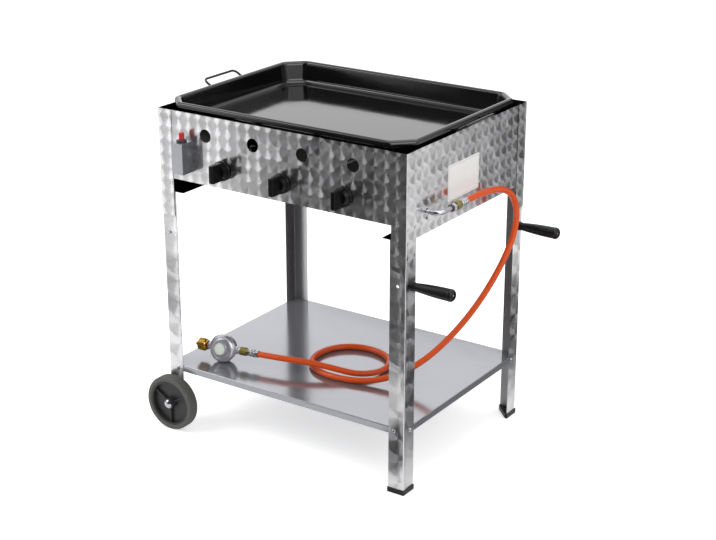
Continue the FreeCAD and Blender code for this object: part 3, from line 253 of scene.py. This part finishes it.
def brightStainless():
    # Cold-rolled bright stainless sheet: nearly a mirror, blurred a little along the rolling direction.
    look = {"steel": "#A6A7AC", "cloud": "#9D9EA4", "smoothest": 0.11, "roughest": 0.20, "lineMm": 1.5,
            "stretch": 40, "cloudMm": 180, "bump": 0.02, "bumpDepth": 0.0005, "metallic": 0.7}
    material, tree, shader = newMaterial("brightStainless")
    point = objectPoint(tree)
    along = addNode(tree, "ShaderNodeMapping",
                    {"Vector": point, "Scale": (1, look["stretch"], look["stretch"])}).outputs[0]
    lineScale = 1000 / look["stretch"] / look["lineMm"]
    lines = addNode(tree, "ShaderNodeTexNoise",
                    {"Vector": along, "Scale": lineScale, "Detail": 3.0}).outputs[0]
    clouds = addNode(tree, "ShaderNodeTexNoise",
                     {"Vector": point, "Scale": 1000 / look["cloudMm"], "Detail": 3.0}).outputs[0]
    colour = addNode(tree, "ShaderNodeMix",
                     {0: clouds, 6: hexColour(look["steel"]), 7: hexColour(look["cloud"])},
                     data_type="RGBA").outputs[2]
    tree.links.new(colour, shader.inputs["Base Color"])
    rough = addNode(tree, "ShaderNodeMapRange", {0: lines, 1: noiseLow, 2: noiseHigh, 3: look["smoothest"],
                                                 4: look["roughest"]}).outputs[0]
    tree.links.new(rough, shader.inputs["Roughness"])
    bump = addNode(tree, "ShaderNodeBump",
                   {"Strength": look["bump"], "Distance": look["bumpDepth"], "Height": lines}).outputs[0]
    tree.links.new(bump, shader.inputs["Normal"])
    shader.inputs["Metallic"].default_value = look["metallic"]
    return material


metalGrain = {"driftGrains": 12, "driftDetail": 3.0, "grainDetail": 2.0, "smoothest": 0.8, "roughest": 1.3,
              "bumpDepth": 0.0004}
plasticGrain = {"driftGrains": 20, "driftDetail": 4.0, "grainDetail": 3.0, "smoothest": 0.85, "roughest": 1.2,
                "bumpDepth": 0.0003}


def grainedFinish(name, colourA, colourB, roughness, grainMm, bumpStrength, look):
    # a tone that drifts over many grains, and a grain of the given size in the gloss and the surface
    material, tree, shader = newMaterial(name)
    point = objectPoint(tree)
    drift = addNode(tree, "ShaderNodeTexNoise", {"Vector": point, "Detail": look["driftDetail"],
                                                 "Scale": 1000 / (grainMm * look["driftGrains"])}).outputs[0]
    grain = addNode(tree, "ShaderNodeTexNoise", {"Vector": point, "Scale": 1000 / grainMm,
                                                 "Detail": look["grainDetail"]}).outputs[0]
    colour = addNode(tree, "ShaderNodeMix", {0: drift, 6: hexColour(colourA), 7: hexColour(colourB)},
                     data_type="RGBA").outputs[2]
    tree.links.new(colour, shader.inputs["Base Color"])
    rough = addNode(tree, "ShaderNodeMapRange", {0: grain, 1: noiseLow, 2: noiseHigh,
                                                 3: roughness * look["smoothest"],
                                                 4: roughness * look["roughest"]}).outputs[0]
    tree.links.new(rough, shader.inputs["Roughness"])
    bump = addNode(tree, "ShaderNodeBump", {"Strength": bumpStrength, "Distance": look["bumpDepth"],
                                            "Height": grain}).outputs[0]
    tree.links.new(bump, shader.inputs["Normal"])
    return material, shader


def metalFinish(name, colourA, colourB, roughness, grainMm, bumpStrength, metallic=1.0):
    # small metal parts: machined, plated or cast
    material, shader = grainedFinish(name, colourA, colourB, roughness, grainMm, bumpStrength, metalGrain)
    shader.inputs["Metallic"].default_value = metallic
    return material


def galvanisedSheet():
    # hot-dip galvanised steel: dull, with spangles
    look = {"pale": "#A6A7A8", "dull": "#8C8D8E", "spangleMm": 9, "smoothest": 0.32, "roughest": 0.48}
    material, tree, shader = newMaterial("galvanisedSheet")
    spangle = addNode(tree, "ShaderNodeTexVoronoi",
                      {"Vector": objectPoint(tree), "Scale": 1000 / look["spangleMm"]})
    tone = addNode(tree, "ShaderNodeSeparateColor", {0: spangle.outputs["Color"]}).outputs
    colour = addNode(tree, "ShaderNodeMix",
                     {0: tone[0], 6: hexColour(look["dull"]), 7: hexColour(look["pale"])},
                     data_type="RGBA").outputs[2]
    tree.links.new(colour, shader.inputs["Base Color"])
    rough = addNode(tree, "ShaderNodeMapRange",
                    {0: tone[1], 3: look["smoothest"], 4: look["roughest"]}).outputs[0]
    tree.links.new(rough, shader.inputs["Roughness"])
    shader.inputs["Metallic"].default_value = 1.0
    return material


def plasticFinish(name, colourA, colourB, roughness, grainMm, bumpStrength, specular=0.5):
    # moulded plastic or rubber: nearly even colour, with the mould's fine texture
    material, shader = grainedFinish(name, colourA, colourB, roughness, grainMm, bumpStrength, plasticGrain)
    shader.inputs["Specular IOR Level"].default_value = specular
    return material


def blackEnamel():
    # Vitreous enamel on pressed steel: deep black glass, with the faint orange peel of a fired coat and the
    # slow waves of the sheet under it.
    look = {"black": "#0A0A0B", "worn": "#121214", "peelMm": 14, "waveMm": 160, "waveHeight": 6.0,
            "smoothest": 0.05, "roughest": 0.12, "bump": 0.06, "bumpDepth": 0.0006, "ior": 1.56}
    material, tree, shader = newMaterial("blackEnamel")
    point = objectPoint(tree)
    peel = addNode(tree, "ShaderNodeTexNoise",
                   {"Vector": point, "Scale": 1000 / look["peelMm"], "Detail": 1.0}).outputs[0]
    wave = addNode(tree, "ShaderNodeTexNoise",
                   {"Vector": point, "Scale": 1000 / look["waveMm"], "Detail": 2.0}).outputs[0]
    colour = addNode(tree, "ShaderNodeMix",
                     {0: wave, 6: hexColour(look["black"]), 7: hexColour(look["worn"])},
                     data_type="RGBA").outputs[2]
    tree.links.new(colour, shader.inputs["Base Color"])
    rough = addNode(tree, "ShaderNodeMapRange", {0: wave, 1: noiseLow, 2: noiseHigh, 3: look["smoothest"],
                                                 4: look["roughest"]}).outputs[0]
    tree.links.new(rough, shader.inputs["Roughness"])
    height = addNode(tree, "ShaderNodeMath", {0: wave, 1: look["waveHeight"], 2: peel},
                     operation="MULTIPLY_ADD").outputs[0]
    bump = addNode(tree, "ShaderNodeBump",
                   {"Strength": look["bump"], "Distance": look["bumpDepth"], "Height": height}).outputs[0]
    tree.links.new(bump, shader.inputs["Normal"])
    shader.inputs["IOR"].default_value = look["ior"]
    return material


# the box's inside colour #565350 is partly smoke tint and partly painted shade inside the box; the legs'
# inside colour is their plain steel
boxLook = {"columnMm": 27.0, "rowMm": 30.0, "stagger": 0.0, "spotMm": 44.0, "dishSlope": 0.0045,
           "spotTip": 0.13, "scratchMm": 1.3, "steel": "#DADADC", "shade": "#CECED1", "inside": "#565350",
           "insideRough": 0.2, "roughness": 0.27, "rings": 0.05, "anisotropy": 1.0, "mirror": 1.0,
           "mirrorRough": 0.07, "mirrorIor": 3.0}
legLook = dict(boxLook, columnMm=40.0, rowMm=52.0, stagger=0.5, spotMm=72.0, inside="#CDCDCF",
               insideRough=0.45, dishSlope=0.003, spotTip=0.18)
boxSteel = spotPolishedStainless("spotPolishedBoxSheet", boxLook)
legSteel = spotPolishedStainless("spotPolishedLegSheet", legLook)
sheetSteel = brightStainless()
zincPlate = metalFinish("zincPlatedSteel", "#CFCFD2", "#B4B5B9", 0.20, 0.8, 0.05)
dieCastZinc = metalFinish("dieCastZinc", "#D6D5DC", "#C8C7CF", 0.29, 0.9, 0.12, 0.75)
turnedBrass = metalFinish("turnedBrass", "#D2A650", "#B98A3C", 0.24, 0.7, 0.06)
dullBrass = metalFinish("dullBrass", "#9C8F58", "#877B49", 0.30, 0.7, 0.06)
galvanised = galvanisedSheet()
# burners and pan rails: dark partly as real heat scale and partly as painted shade, so the box looks dark
# inside through its holes
scaledShadedSteel = metalFinish("heatScaledAndShadedSteel", "#2B2928", "#383533", 0.50, 2.0, 0.10)
enamel = blackEnamel()
knobPlastic = plasticFinish("blackPhenolic", "#0A0A0B", "#111112", 0.22, 0.6, 0.05, 0.22)
gripPlastic = plasticFinish("blackPolypropylene", "#111112", "#19191B", 0.30, 0.8, 0.06, 0.3)
hubPlastic = plasticFinish("hubPolypropylene", "#232223", "#2D2C2D", 0.46, 0.7, 0.10)
redPlastic = plasticFinish("redAbs", "#B3202C", "#C8323C", 0.28, 0.7, 0.03)
tyreRubber = plasticFinish("greyTyreRubber", "#4F4F4B", "#595954", 0.58, 0.5, 0.16, 0.4)
hoseRubber = plasticFinish("orangeHoseRubber", "#D24A12", "#DB551D", 0.30, 0.8, 0.04, 0.35)
ceramic = plasticFinish("glazedCeramic", "#E6E3D9", "#DCD8CC", 0.22, 1.0, 0.02)
leadPlastic = plasticFinish("leadSilicone", "#1A1A1C", "#222224", 0.45, 0.8, 0.05)
whiteVinyl = plasticFinish("whiteVinyl", "#F1F1EF", "#E8E8E6", 0.35, 0.5, 0.02)
greyPrint = plasticFinish("greyPrintedVinyl", "#B9BABC", "#B1B2B5", 0.38, 0.5, 0.02)
paleVinyl = plasticFinish("paleGreenVinyl", "#DCE4D6", "#D2DBCB", 0.33, 0.5, 0.02)
print("finishes made")

finishes = [   # a name that ends in an underscore stands for all nodes that begin with it
    (boxSteel, ("post_", "side_panel_", "front_panel", "rear_panel")),
    (legSteel, ("leg_",)),
    (sheetSteel, ("shelf", "igniter_housing")),
    (scaledShadedSteel, ("burner_", "pan_rails")),
    (galvanised, ("manifold",)),
    (zincPlate, ("spindle_", "handle_bolts", "axle_bolts", "wheel_caps", "inlet_", "hose_ferrules")),
    (dieCastZinc, ("tap_body_", "regulator_")),
    (turnedBrass, ("tap_plug_", "injectors", "bottle_")),
    (dullBrass, ("hose_nuts",)),
    (enamel, ("pan_handle_",)),
    (knobPlastic, ("knob_",)),
    (gripPlastic, ("handle_front", "handle_rear", "foot_caps")),
    (hubPlastic, ("wheel_front_hub", "wheel_rear_hub", "igniter_body")),
    (tyreRubber, ("wheel_front_tyre", "wheel_rear_tyre")),
    (redPlastic, ("igniter_button",)),
    (ceramic, ("electrode",)),
    (leadPlastic, ("ignition_lead",)),
]
for material, wearers in finishes:
    for name in nodes:
        if any(name == w or w.endswith("_") and name.startswith(w) for w in wearers):
            slots = nodes[name].data.materials
            slots.clear()
            slots.append(material)
print("finishes on the CAD nodes")


def enamelledPan():
    sizes = {"halfWidth": 319.0, "halfDepth": 244.0, "cutCorner": 44.0, "cornerRound": 18.0, "bead": 8.0,
             "depth": 50.0, "sheet": 2.0, "floorBend": 12.0, "taper": 7.0, "flatFrom": 70.0,
             "rollDegrees": 300, "rollStep": 15, "tuckIn": 1.2, "tuckUp": 0.6}
    bead, floor, sheet = sizes["bead"], -sizes["depth"], sizes["sheet"]
    foot = 2 * bead + sizes["taper"]
    # the section as inset from the rim's edge and height from its top: inside, rolled bead, outside
    inside = roundedLine([(sizes["flatFrom"], floor), (foot, floor), (2 * bead, -bead)],
                         [0, sizes["floorBend"], 0], 8)
    step = sizes["rollStep"]
    turns = [math.radians(a) for a in range(step, sizes["rollDegrees"] + 1, step)]
    rolled = [Vector((bead + bead * math.cos(a), -bead + bead * math.sin(a))) for a in turns]
    outside = roundedLine([(2 * bead - sizes["tuckIn"], -2 * bead + sizes["tuckUp"]),
                           (foot - sheet, floor - sheet),
                           (sizes["flatFrom"], floor - sheet)], [0, sizes["floorBend"] + sheet, 0], 8)
    rings = []
    for inset, height in inside + rolled + outside:
        x, y = sizes["halfWidth"] - inset, sizes["halfDepth"] - inset
        cut = sizes["cutCorner"] - inset * (2 - math.sqrt(2))
        half = [(x, -y + cut), (x, y - cut), (x - cut, y), (-x + cut, y)]
        loop = roundedLoop(half + [(-a, -b) for a, b in half], sizes["cornerRound"], 5)
        rings.append([fromMiddle(p.x, p.y, rimTop * 1000 + height) for p in loop])
    bm = bmesh.new()
    layers = skin(bm, rings)
    bm.faces.new(layers[0])
    bm.faces.new(layers[-1])
    piece = meshPiece("enamelledPan", bm, enamel, 60)
    piece.modifiers.new("flatFloors", "WEIGHTED_NORMAL")
    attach(piece, "pan")
    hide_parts("pan")


enamelledPan()
print("pan pressed")


def blankPlate():   # a blank plate with a printed border on the right side, in millimetres
    sizes = {"front": -87.0, "back": 41.0, "low": 622.0, "high": 701.0, "corner": 3.0, "thick": 0.4,
             "edge": 3.0, "line": 0.8, "face": 324.0, "bevel": 0.1, "ink": 0.05}

    def sheetLoop(margin, out):
        y0, y1 = sizes["front"] + margin, sizes["back"] - margin
        z0, z1 = sizes["low"] + margin, sizes["high"] - margin
        corners = [(y0, z0), (y1, z0), (y1, z1), (y0, z1)]
        loop = roundedLoop(corners, max(sizes["corner"] - margin * 0.5, 0.6), 5)
        return [fromMiddle(sizes["face"] + out, p.x, p.y) for p in loop]

    bm = bmesh.new()
    thick, bevel = sizes["thick"], sizes["bevel"]
    layers = skin(bm, [sheetLoop(0, 0), sheetLoop(0, thick - bevel), sheetLoop(bevel, thick)])
    bm.faces.new(layers[0])
    bm.faces.new(layers[-1])
    plate = meshPiece("blankSidePlate", bm, whiteVinyl)
    bm = bmesh.new()
    inner, outer = sizes["edge"] + sizes["line"], sizes["edge"]
    top = thick + sizes["ink"]
    frameLoops = [sheetLoop(outer, thick), sheetLoop(outer, top), sheetLoop(inner, top),
                  sheetLoop(inner, thick)]
    skin(bm, frameLoops, True)
    border = meshPiece("plateBorder", bm, greyPrint)
    for piece in (plate, border):
        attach(piece, "griddle")


blankPlate()

regulatorTurn, regulatorLean = math.radians(10), math.radians(14)
regulatorMiddle = fromMiddle(-224, -170, 186.35)
regulatorSide = Vector((math.cos(regulatorTurn), math.sin(regulatorTurn), 0))   # the way to the hose


def regulatorBadge():   # a blank round sticker on the regulator's cap, in millimetres
    sizes = {"radius": 13.6, "thick": 0.35, "ring": 0.7, "ringInset": 1.4, "cap": 23.6, "bevel": 0.1,
             "bevelIn": 0.15, "ink": 0.05}
    turn, lean, side = regulatorTurn, regulatorLean, regulatorSide
    face = Vector((math.sin(turn) * math.cos(lean), -math.cos(turn) * math.cos(lean), math.sin(lean)))
    up = face.cross(side)
    middle = regulatorMiddle + face * (sizes["cap"] / 1000)

    def loop(radius, out):
        spokes = [(math.cos(k * math.pi / 32), math.sin(k * math.pi / 32)) for k in range(64)]
        return [middle + (side * c + up * s) * (radius / 1000) + face * (out / 1000) for c, s in spokes]

    radius, thick = sizes["radius"], sizes["thick"]
    bm = bmesh.new()
    edge = [loop(radius, 0), loop(radius, thick - sizes["bevel"]), loop(radius - sizes["bevelIn"], thick)]
    layers = skin(bm, edge)
    bm.faces.new(layers[0])
    bm.faces.new(layers[-1])
    badge = meshPiece("blankRegulatorBadge", bm, paleVinyl)
    bm = bmesh.new()
    outer, top = radius - sizes["ringInset"], thick + sizes["ink"]
    inner = outer - sizes["ring"]
    skin(bm, [loop(outer, thick), loop(outer, top), loop(inner, top), loop(inner, thick)], True)
    ring = meshPiece("badgeRing", bm, greyPrint)
    for piece in (badge, ring):
        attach(piece, "griddle")


regulatorBadge()
print("blank plate and badge set")


def newTree(name, sizes):   # a node tree with one named input for each size
    tree = bpy.data.node_groups.new(name, "GeometryNodeTree")
    tree.interface.new_socket("Geometry", in_out="INPUT", socket_type="NodeSocketGeometry")
    keys = {}
    for key in sizes:
        keys[key] = tree.interface.new_socket(key, in_out="INPUT", socket_type="NodeSocketFloat").identifier
    tree.interface.new_socket("Geometry", in_out="OUTPUT", socket_type="NodeSocketGeometry")
    return tree, keys, tree.nodes.new("NodeGroupInput").outputs


def grown(name, places, directions, tree, keys, sizes, material):   # runs a tree on points, keeps the mesh
    seed = bpy.data.meshes.new(name + "Places")
    seed.from_pydata(places, [], [])
    axes = seed.attributes.new("axis", "FLOAT_VECTOR", "POINT")
    for item, direction in zip(axes.data, directions):
        item.vector = direction
    holder = bpy.data.objects.new(name + "Places", seed)
    bpy.context.scene.collection.objects.link(holder)
    modifier = holder.modifiers.new(name, "NODES")
    modifier.node_group = tree
    for key, value in sizes.items():
        modifier[keys[key]] = float(value)
    bpy.context.view_layer.update()
    depsgraph = bpy.context.evaluated_depsgraph_get()
    mesh = bpy.data.meshes.new_from_object(holder.evaluated_get(depsgraph))
    mesh.name = name
    bpy.data.objects.remove(holder)
    return finishedPiece(name, mesh, material)


def standOnPoints(tree, points, item, material, spin=None):   # a copy on each point, along the point's axis
    axis = addNode(tree, "GeometryNodeInputNamedAttribute", {"Name": "axis"},
                   data_type="FLOAT_VECTOR").outputs[0]
    stand = addNode(tree, "FunctionNodeAlignRotationToVector", {"Vector": axis}, axis="Z").outputs[0]
    if spin is not None:
        stand = addNode(tree, "FunctionNodeRotateRotation", {0: stand, 1: spin},
                        rotation_space="LOCAL").outputs[0]
    copies = addNode(tree, "GeometryNodeInstanceOnPoints", {"Points": points, "Instance": item,
                                                            "Rotation": stand}).outputs[0]
    real = addNode(tree, "GeometryNodeRealizeInstances", {0: copies}).outputs[0]
    clad = addNode(tree, "GeometryNodeSetMaterial", {"Geometry": real, "Material": material}).outputs[0]
    addNode(tree, "NodeGroupOutput", {0: clad})


def crossHeadScrews():
    # raised screw heads with a cross recess, each turned as its last twist left it
    sizes = {"headRadius": 0.0045, "headHeight": 0.0026, "shankRadius": 0.0025, "shankLength": 0.009,
             "slotLength": 0.0052, "slotWidth": 0.0011, "slotDepth": 0.0016}
    tree, keys, given = newTree("crossHeadScrews", sizes)
    ball = addNode(tree, "GeometryNodeMeshUVSphere", {"Segments": 28, "Rings": 14, "Radius": 1.0}).outputs[0]
    swell = addNode(tree, "ShaderNodeCombineXYZ", {0: given["headRadius"], 1: given["headRadius"],
                                                   2: given["headHeight"]}).outputs[0]
    dome = addNode(tree, "GeometryNodeTransform", {"Geometry": ball, "Scale": swell}).outputs[0]
    below = addNode(tree, "GeometryNodeMeshCube", {"Size": (0.02, 0.02, 0.02)}).outputs[0]
    below = addNode(tree, "GeometryNodeTransform",
                    {"Geometry": below, "Translation": (0, 0, -0.01)}).outputs[0]
    deep = addNode(tree, "ShaderNodeMath", {0: given["slotDepth"], 1: 2.0}, operation="MULTIPLY").outputs[0]
    cuts = [below]
    for first, second in (("slotLength", "slotWidth"), ("slotWidth", "slotLength")):
        size = addNode(tree, "ShaderNodeCombineXYZ", {0: given[first], 1: given[second], 2: deep}).outputs[0]
        bar = addNode(tree, "GeometryNodeMeshCube", {"Size": size}).outputs[0]
        lift = addNode(tree, "ShaderNodeCombineXYZ", {2: given["headHeight"]}).outputs[0]
        cuts.append(addNode(tree, "GeometryNodeTransform", {"Geometry": bar, "Translation": lift}).outputs[0])
    head = addNode(tree, "GeometryNodeMeshBoolean", {"Mesh 1": dome, "Mesh 2": cuts},
                   operation="DIFFERENCE").outputs[0]
    shank = addNode(tree, "GeometryNodeMeshCylinder", {"Vertices": 20, "Radius": given["shankRadius"],
                                                       "Depth": given["shankLength"]}).outputs[0]
    down = addNode(tree, "ShaderNodeMath", {0: given["shankLength"], 1: -0.5},
                   operation="MULTIPLY").outputs[0]
    sink = addNode(tree, "ShaderNodeCombineXYZ", {2: down}).outputs[0]
    shank = addNode(tree, "GeometryNodeTransform", {"Geometry": shank, "Translation": sink}).outputs[0]
    screw = addNode(tree, "GeometryNodeJoinGeometry", {0: [head, shank]}).outputs[0]
    twist = addNode(tree, "FunctionNodeRandomValue", {2: 0.0, 3: 1.57, "Seed": 7},
                    data_type="FLOAT").outputs[1]
    spin = addNode(tree, "ShaderNodeCombineXYZ", {2: twist}).outputs[0]
    standOnPoints(tree, given["Geometry"], screw, zincPlate, spin)
    seats = {"faceX": 323.6, "faceY": 248.6, "fromEdge": 26.0, "height": 147.5}   # millimetres
    inX, inY = seats["faceX"] - seats["fromEdge"], seats["faceY"] - seats["fromEdge"]
    height = seats["height"]
    places, directions = [], []
    for sideX in (-1, 1):
        for sideY in (-1, 1):
            places.append(fromMiddle(sideX * inX, sideY * seats["faceY"], height))
            places.append(fromMiddle(sideX * seats["faceX"], sideY * inY, height))
            directions += [(0, sideY, 0), (sideX, 0, 0)]
    piece = grown("shelfCrossHeadScrews", places, directions, tree, keys, sizes, zincPlate)
    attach(piece, "trolley")
    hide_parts("shelf_screws")


crossHeadScrews()


def ferruleCrimps():
    # the ridges that a crimping tool leaves between its jaws, round the ferrule at each end of the hose
    sizes = {"ridges": 8, "ringRadius": 0.0084, "ridgeRadius": 0.0009, "ridgeLength": 0.015}
    tree, keys, given = newTree("ferruleCrimps", sizes)
    count = addNode(tree, "FunctionNodeFloatToInt", {0: given["ridges"]}).outputs[0]
    ring = addNode(tree, "GeometryNodeMeshCircle",
                   {"Vertices": count, "Radius": given["ringRadius"]}).outputs[0]
    rod = addNode(tree, "GeometryNodeMeshUVSphere", {"Segments": 12, "Rings": 14, "Radius": 1.0}).outputs[0]
    half = addNode(tree, "ShaderNodeMath", {0: given["ridgeLength"], 1: 0.5}, operation="MULTIPLY").outputs[0]
    swell = addNode(tree, "ShaderNodeCombineXYZ",
                    {0: given["ridgeRadius"], 1: given["ridgeRadius"], 2: half}).outputs[0]
    rod = addNode(tree, "GeometryNodeTransform", {"Geometry": rod, "Scale": swell}).outputs[0]
    ridges = addNode(tree, "GeometryNodeInstanceOnPoints", {"Points": ring, "Instance": rod}).outputs[0]
    standOnPoints(tree, given["Geometry"], ridges, zincPlate)
    inletEnd = fromMiddle(356, -78, 626)
    regulatorEnd = regulatorMiddle + regulatorSide * 0.078
    directions = [(0, 1, 0), regulatorSide]
    piece = grown("hoseFerruleCrimps", [inletEnd, regulatorEnd], directions, tree, keys, sizes, zincPlate)
    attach(piece, "griddle")


ferruleCrimps()
print("screws and crimps grown")

hoseSizes = {"diameter": 0.014, "length": 1.61}
hoseRoute = [
    (0.3265, -0.0612, 0.6260), (0.3265, -0.0092, 0.6260), (0.3295, 0.0468, 0.6220),
    (0.3335, 0.0968, 0.6110), (0.3365, 0.1338, 0.5830), (0.3365, 0.1508, 0.5390),
    (0.3335, 0.1438, 0.4910), (0.3255, 0.1178, 0.4410), (0.3085, 0.0868, 0.3840),
    (0.2815, 0.0548, 0.3230), (0.2465, 0.0198, 0.2650), (0.2065, -0.0192, 0.2150),
    (0.1615, -0.0572, 0.1820), (0.1105, -0.0902, 0.1653), (0.0525, -0.1102, 0.1623),
    (-0.0075, -0.1132, 0.1623), (-0.0575, -0.0902, 0.1623), (-0.0845, -0.0442, 0.1623),
    (-0.0825, 0.0088, 0.1623), (-0.0515, 0.0518, 0.1623), (-0.0015, 0.0688, 0.1623),
    (0.0545, 0.0578, 0.1623), (0.0915, 0.0178, 0.1623), (0.0955, -0.0362, 0.1633),
    (0.0665, -0.0822, 0.1683), (0.0155, -0.0992, 0.1763), (-0.0355, -0.1152, 0.1833),
    (-0.0775, -0.1302, 0.1858), (-0.12154, -0.14193, 0.18635), (-0.16487, -0.14957, 0.18635)]


def nurbsLine(name, points):
    data = bpy.data.curves.new(name, "CURVE")
    data.dimensions = "3D"
    spline = data.splines.new("NURBS")
    spline.points.add(len(points) - 1)
    for point, place in zip(spline.points, points):
        point.co = (*place, 1.0)
    spline.order_u = 3
    spline.use_endpoint_u = True
    data.resolution_u = 12
    piece = bpy.data.objects.new(name, data)
    bpy.context.scene.collection.objects.link(piece)
    return piece


hose = nurbsLine("orangeGasHose", hoseRoute)
hose.data.bevel_depth = hoseSizes["diameter"] / 2
hose.data.bevel_resolution = 6
hose.data.materials.append(hoseRubber)
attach(hose, "griddle")
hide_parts("gas_hose")
print("hose laid")

view = {"azimuth": 34.0, "elevation": 20.7, "distance": 3.635, "lens": 80.0, "sensor": 36,
        "target": (0.012, 0.0, 0.385)}


def stagePlane(name, size, place, turn, material):
    bm = bmesh.new()
    bm.loops.layers.uv.verify()
    bmesh.ops.create_grid(bm, x_segments=1, y_segments=1, size=0.5, calc_uvs=True)
    mesh = bpy.data.meshes.new(name)
    bm.to_mesh(mesh)
    bm.free()
    mesh.materials.append(material)
    plane = bpy.data.objects.new(name, mesh)
    plane.scale = (size[0], size[1], 1)
    plane.location = place
    plane.rotation_euler = turn
    bpy.context.scene.collection.objects.link(plane)
    return plane


def paleFloor():   # a matt white floor that shows white to the camera and in the metal, and keeps the shadow
    look = {"colour": "#F4F4F4", "glow": 0.5, "mirrorGlow": 0.12}
    material, tree, shader = newMaterial("paleFloor")
    shader.inputs["Base Color"].default_value = hexColour(look["colour"])
    shader.inputs["Roughness"].default_value = 0.9
    shader.inputs["Specular IOR Level"].default_value = 0.0
    shader.inputs["Emission Color"].default_value = (1, 1, 1, 1)
    path = addNode(tree, "ShaderNodeLightPath").outputs
    seen = addNode(tree, "ShaderNodeMath", {0: path["Is Camera Ray"], 1: path["Is Transmission Ray"]},
                   operation="MAXIMUM").outputs[0]
    glow = addNode(tree, "ShaderNodeMath", {0: seen, 1: look["glow"]}, operation="MULTIPLY").outputs[0]
    glow = addNode(tree, "ShaderNodeMath", {0: path["Is Glossy Ray"], 1: look["mirrorGlow"], 2: glow},
                   operation="MULTIPLY_ADD").outputs[0]
    tree.links.new(glow, shader.inputs["Emission Strength"])
    return material


def darkCard():   # a dark flag with soft edges, seen only in reflections
    look = {"grey": 0.03, "sideFade": 0.15, "endFade": 0.10}
    material, tree = newMaterial("darkCard")[:2]
    uv = addNode(tree, "ShaderNodeTexCoord").outputs["UV"]
    off = addNode(tree, "ShaderNodeVectorMath", {0: uv, 1: (0.5, 0.5, 0)}, operation="SUBTRACT").outputs[0]
    off = addNode(tree, "ShaderNodeVectorMath", {0: off}, operation="ABSOLUTE").outputs[0]
    off = addNode(tree, "ShaderNodeSeparateXYZ", {0: off}).outputs
    fades = []
    for edge, fade in ((off[0], look["sideFade"]), (off[1], look["endFade"])):
        fades.append(addNode(tree, "ShaderNodeMapRange",
                             {0: edge, 1: 0.5 - fade, 2: 0.5, 3: 1.0, 4: 0.0}).outputs[0])
    cover = addNode(tree, "ShaderNodeMath", {0: fades[0], 1: fades[1]}, operation="MULTIPLY").outputs[0]
    dark = addNode(tree, "ShaderNodeEmission",
                   {0: (look["grey"], look["grey"], look["grey"], 1), 1: 1.0}).outputs[0]
    clear = addNode(tree, "ShaderNodeBsdfTransparent").outputs[0]
    mix = addNode(tree, "ShaderNodeMixShader", {0: cover, 1: clear, 2: dark}).outputs[0]
    tree.links.new(mix, tree.nodes["Material Output"].inputs["Surface"])
    return material


stagePlane("floor", (30, 30), (0, 0, -0.0005), (0, 0, 0), paleFloor())
card = darkCard()
cards = {   # width and height, middle, tip and turn in degrees: what the steel mirrors besides the white room
    "cardFront": ((2.35, 1.75), (0.24, -1.1, 0.76), (90, 0)),
    "cardHigh": ((2.6, 1.0), (-0.55, -1.12, 1.75), (90, 0)),
    "cardFloor": ((2.4, 0.9), (0.05, -1.15, 0.002), (0, 0)),
    "cardRight": ((2.4, 1.9), (0.36, 2.06, 0.80), (90, -34)),
    "cardFoot": ((0.17, 0.46), (0.17, -0.53, 0.002), (0, 0)),
    "cardFloorRight": ((0.9, 1.4), (0.78, 0.45, 0.002), (0, 0)),
    "cardLeft": ((1.9, 0.52), (-1.25, 0.1, 0.33), (90, 90)),
    "cardBack": ((1.7, 0.52), (-0.25, 1.15, 0.33), (90, 0)),
}
for name, (size, place, (tip, turn)) in cards.items():
    flag = stagePlane(name, size, place, (math.radians(tip), 0, math.radians(turn)), card)
    flag.visible_camera = False
    flag.visible_diffuse = False
    flag.visible_shadow = False
    flag.visible_transmission = False

lampAim = Vector((0, 0, 0.45))
lamps = {   # size in metres, power in watts, place: soft boxes aimed at the middle of the trolley
    "keyBox": (1.8, 42.0, (-1.9, -1.6, 2.3)),
    "fillBox": (1.6, 20.0, (2.2, -1.2, 1.9)),
    "topBox": (2.2, 22.0, (0.2, 0.6, 2.9)),
    "backBox": (2.4, 9.0, (-1.75, 2.5, 1.65)),
}
for name, (size, power, place) in lamps.items():
    light = bpy.data.lights.new(name, "AREA")
    light.size = size
    light.energy = power
    lamp = bpy.data.objects.new(name, light)
    lamp.location = place
    aim = lampAim - lamp.location
    lamp.rotation_euler = aim.to_track_quat("-Z", "Y").to_euler()
    bpy.context.scene.collection.objects.link(lamp)

studio = {"light": 0.62, "seen": 1.0}   # how bright the white room lights the part, and how bright it looks
world = bpy.data.worlds.new("studio")
bpy.context.scene.world = world
world.use_nodes = True
sky = world.node_tree
path = addNode(sky, "ShaderNodeLightPath").outputs
seen = addNode(sky, "ShaderNodeMath", {0: path["Is Camera Ray"], 1: path["Is Glossy Ray"]},
               operation="MAXIMUM").outputs[0]
seen = addNode(sky, "ShaderNodeMath", {0: seen, 1: path["Is Transmission Ray"]},
               operation="MAXIMUM").outputs[0]
strength = addNode(sky, "ShaderNodeMapRange", {0: seen, 3: studio["light"], 4: studio["seen"]}).outputs[0]
sky.links.new(strength, sky.nodes["Background"].inputs["Strength"])
sky.nodes["Background"].inputs["Color"].default_value = (1, 1, 1, 1)

camera = bpy.data.cameras.new("photoCamera")
camera.lens = view["lens"]
camera.sensor_width = view["sensor"]
cameraObject = bpy.data.objects.new("photoCamera", camera)
around, up = math.radians(view["azimuth"]), math.radians(view["elevation"])
back = Vector((math.sin(around) * math.cos(up), -math.cos(around) * math.cos(up), math.sin(up)))
cameraObject.location = Vector(view["target"]) + back * view["distance"]
cameraObject.rotation_euler = (-back).to_track_quat("-Z", "Y").to_euler()
bpy.context.scene.collection.objects.link(cameraObject)
bpy.context.scene.camera = cameraObject
bpy.context.scene.view_settings.view_transform = "Standard"
print("stage set")
